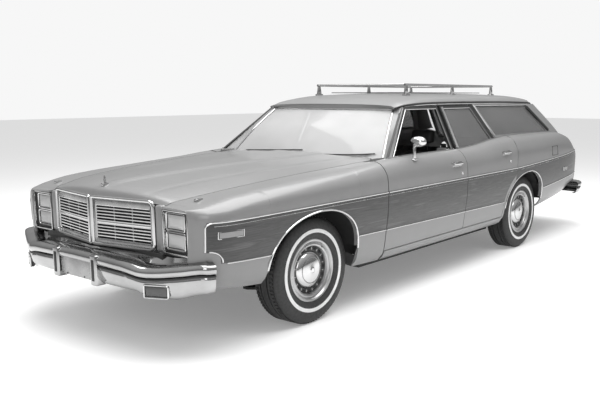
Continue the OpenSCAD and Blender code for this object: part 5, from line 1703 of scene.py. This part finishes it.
def addCushion(name, outline, x0, x1, channels, replaces=(), along="z"):
    # a slightly small closed pad is blown up as cloth, held to a limit, then sewn
    bm = bmesh.new()
    pts, faces = prismShape(outline, "yz", x0 + 0.012, x1 - 0.012, 0.030, 4)
    mesh = bpy.data.meshes.new(name)
    mesh.from_pydata(pts, [], faces)
    bm.free()
    pad = bpy.data.objects.new(name, mesh)
    bpy.context.scene.collection.objects.link(pad)
    bpy.context.view_layer.objects.active = pad
    mod = pad.modifiers.new("remesh", "REMESH")
    mod.mode = "VOXEL"
    mod.voxel_size = cushions["voxel"]
    bpy.ops.object.modifier_apply(modifier="remesh")
    rest = np.array([v.co for v in pad.data.vertices])
    cloth = pad.modifiers.new("cloth", "CLOTH")
    cloth.settings.use_pressure = True
    cloth.settings.uniform_pressure_force = cushions["pressure"]
    cloth.settings.effector_weights.gravity = 0
    scene = bpy.context.scene
    for step in range(1, cushions["frames"] + 1):
        scene.frame_set(step)
    bpy.ops.object.modifier_apply(modifier="cloth")
    scene.frame_set(1)
    now = np.array([v.co for v in pad.data.vertices])
    move = now - rest
    length = np.linalg.norm(move, axis=1, keepdims=True)
    now = rest + move * np.minimum(1, cushions["cap"] / np.maximum(length, 1e-9))
    centre = (now.min(axis=0) + now.max(axis=0)) / 2
    normals = np.array([v.normal for v in pad.data.vertices])
    for x in channels:
        now -= normals * (cushions["channel"] * np.exp(-((now[:, 0] - x) / cushions["wide"]) ** 2))[:, None]
    pad.data.vertices.foreach_set("co", now.ravel())
    pad.data.update()
    pad.data.materials.clear()
    pad.data.materials.append(seatVinyl)
    pad.data.shade_smooth()
    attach(pad, "body")
    if replaces:
        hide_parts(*replaces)
    return pad


def insetLine(outline, d=0.012):
    p = np.array(outline)
    c = p.mean(axis=0)
    way = p - c
    return [tuple(c + w * (1 - d / max(np.linalg.norm(w), d * 2))) for w in way]


tufts = [x for x in np.arange(-0.54, 0.55, 0.108)]
addCushion("frontSeatCushion", insetLine([(-0.310, 0.440), (-0.328, 0.470), (-0.318, 0.560), (-0.255, 0.596), (0.165, 0.568),
                                          (0.215, 0.440)]), -0.648, 0.648, tufts, ["front_seat"])
addCushion("frontSeatBack", insetLine([(0.186, 0.580), (0.138, 0.640), (0.230, 0.976), (0.270, 0.996), (0.328, 0.982),
                                       (0.346, 0.940), (0.272, 0.580)]), -0.648, 0.648, tufts)
for s, word in ((-1, "Right"), (1, "Left")):
    addCushion("headRestraint" + word, insetLine([(0.252, 1.032), (0.268, 1.148), (0.300, 1.168), (0.343, 1.163),
                                                  (0.358, 1.140), (0.340, 1.032)]), s * 0.37 - 0.12, s * 0.37 + 0.12, ())
addCushion("rearSeatCushion", insetLine([(0.452, 0.306), (0.442, 0.538), (0.482, 0.586), (0.925, 0.567), (0.930, 0.306)]),
           -0.560, 0.560, [x for x in tufts if abs(x) < 0.5], ["rear_seat"])
addCushion("rearSeatBack", insetLine([(0.942, 0.608), (0.905, 0.645), (0.987, 0.957), (1.030, 0.982), (1.078, 0.966),
                                      (1.097, 0.930), (1.030, 0.608)]), -0.598, 0.598, tufts)


def addSeatTrim():
    posts = [[(x + d, 0.296, 0.975), (x + d, 0.296, 1.040)] for x in (-0.37, 0.37) for d in (-0.06, 0.06)]
    legs = [boxShape((x - 0.030, -0.240, 0.3015), (x + 0.030, 0.160, 0.442), 0.006) for x in (-0.5, 0.5)]
    floor = boxShape((-0.60, 1.12, 0.6015), (0.60, gateY - 0.075, 0.606), 0.001)
    strips, _ = rowOf(7, (0.165, 0, 0), (-0.495, 1.86, 0.6075), (0.014, 1.40, 0.004), chrome)
    makePiece("seatTrim", [barsAlong(posts, 0.007, chrome), (joinShapes(*legs), frameBlack), (strips, chrome)], "body",
              ())
    makePiece("loadFloorMat", [(floor, carpet)], "body")


addSeatTrim()

# ---- small outside pieces, kept parts and the air cleaner ----


wheelhouses = {"front": (frontHub, 0.470, 0.490, 0.895, 0.500), "rear": (rearHub, 0.440, 0.640, 0.905, 0.440)}


def addWheelhouse(hub, radius, x0, x1, wallLow):
    angles = np.linspace(math.radians(11), math.radians(169), 40)
    arc = [(hub.y - radius * math.cos(t), hub.z + radius * math.sin(t)) for t in angles]
    band = bandShape([(x1, y, z) for y, z in arc], [(x0, y, z) for y, z in arc], 0.004)
    start = math.asin((wallLow - hub.z) / radius)
    top = [(hub.y - radius * math.cos(t), hub.z + radius * math.sin(t)) for t in np.linspace(start, math.pi - start, 28)]
    wall = prismShape(top, "yz", x0 - 0.002, x0 + 0.003)
    return [(bothSides(joinShapes(band, wall)), underPaint)]


for end, values in wheelhouses.items():
    makePiece(end + "Wheelhouses", addWheelhouse(*values), "body")


def addSmall():
    marks, rims, wells = [], [], []
    for y, z, w, h in ((noseY + 0.366, 0.710, 0.078, 0.019), (2.179, 0.695, 0.060, 0.016)):
        ys, zs = np.linspace(y - w + 0.005, y + w - 0.005, 7), np.linspace(z + h - 0.004, z - h + 0.004, 4)
        marks.append(thickGrid(np.array([[onSide(a, b, 0.005) for b in zs] for a in ys]), 0.006))
        loop = [(onSide(y + a * w, z + b * h, 0.003)) for a, b in ((-1, -1), (1, -1), (1, 1), (-1, 1))]
        rims.append([tuple(p) for p in loop + loop[:1]])
    bars, _ = barsAlong(rims, 0.0035, chrome)
    makePiece("sideMarkers", [(bothSides(joinShapes(*marks)), markerLens), (bothSides(bars), chrome)], "body")
    ledgeYs = np.linspace(2.20, quarterY1 - 0.004, 16)
    ledge = bandShape([(sideValue(3, y) - 0.004, y, sideValue(2, y) - 0.004) for y in ledgeYs],
                      [(0.790, y, sideValue(2, y) - 0.012) for y in ledgeYs], 0.004)
    makePiece("quarterLedges", [(bothSides(ledge), paint)], "body")
    top = np.array(sideLine(noseY + 0.34, True))
    spot = top[np.argmin(np.abs(top[:, 0] - 0.72))]
    winker = boxShape((spot[0] - 0.012, noseY + 0.315, spot[-1] - 0.006), (spot[0] + 0.012, noseY + 0.365, spot[-1] + 0.012), 0.005)
    makePiece("fenderIndicators", [(bothSides(winker), chrome)], "body")
    flap = [tuple(onSide(1.860 + a * 0.075, 0.905 + b * 0.045, 0.0015)) for a, b in ((-1, -1), (1, -1), (1, 1), (-1, 1))]
    # the fuel door's outline is a near-black bar: painted shade in the seam
    makePiece("fuelDoor", [barsAlong([flap + flap[:1]], 0.0022, paintedShadeBlack)], "body")
    cleaner = moveShape(latheShape([(0, 0.062), (0.020, 0.060), (0.022, 0.050), (0.150, 0.044), (0.165, 0.036), (0.168, -0.020), (0, -0.020)],
                                   (0, 0, 0), 1, 64), [[0, 0, -1], [0, 1, 0], [1, 0, 0]], (0, boxMiddle("engine_block").y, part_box("engine_block")[1].z + 0.022))
    makePiece("airCleaner", [(cleaner, blackPlastic)], "body")


addSmall()
keptLooks = {"floor_pan": underPaint, "chassis_frame": frameBlack, "engine_block": castIron, "exhaust_pipe": exhaustSteel,
             "fuel_tank": exhaustSteel, "rear_axle": frameBlack, "knuckle_left": castIron, "knuckle_right": castIron}
for node, look in keptLooks.items():
    for place in nodes[node].material_slots:
        place.material = look

print("finish")
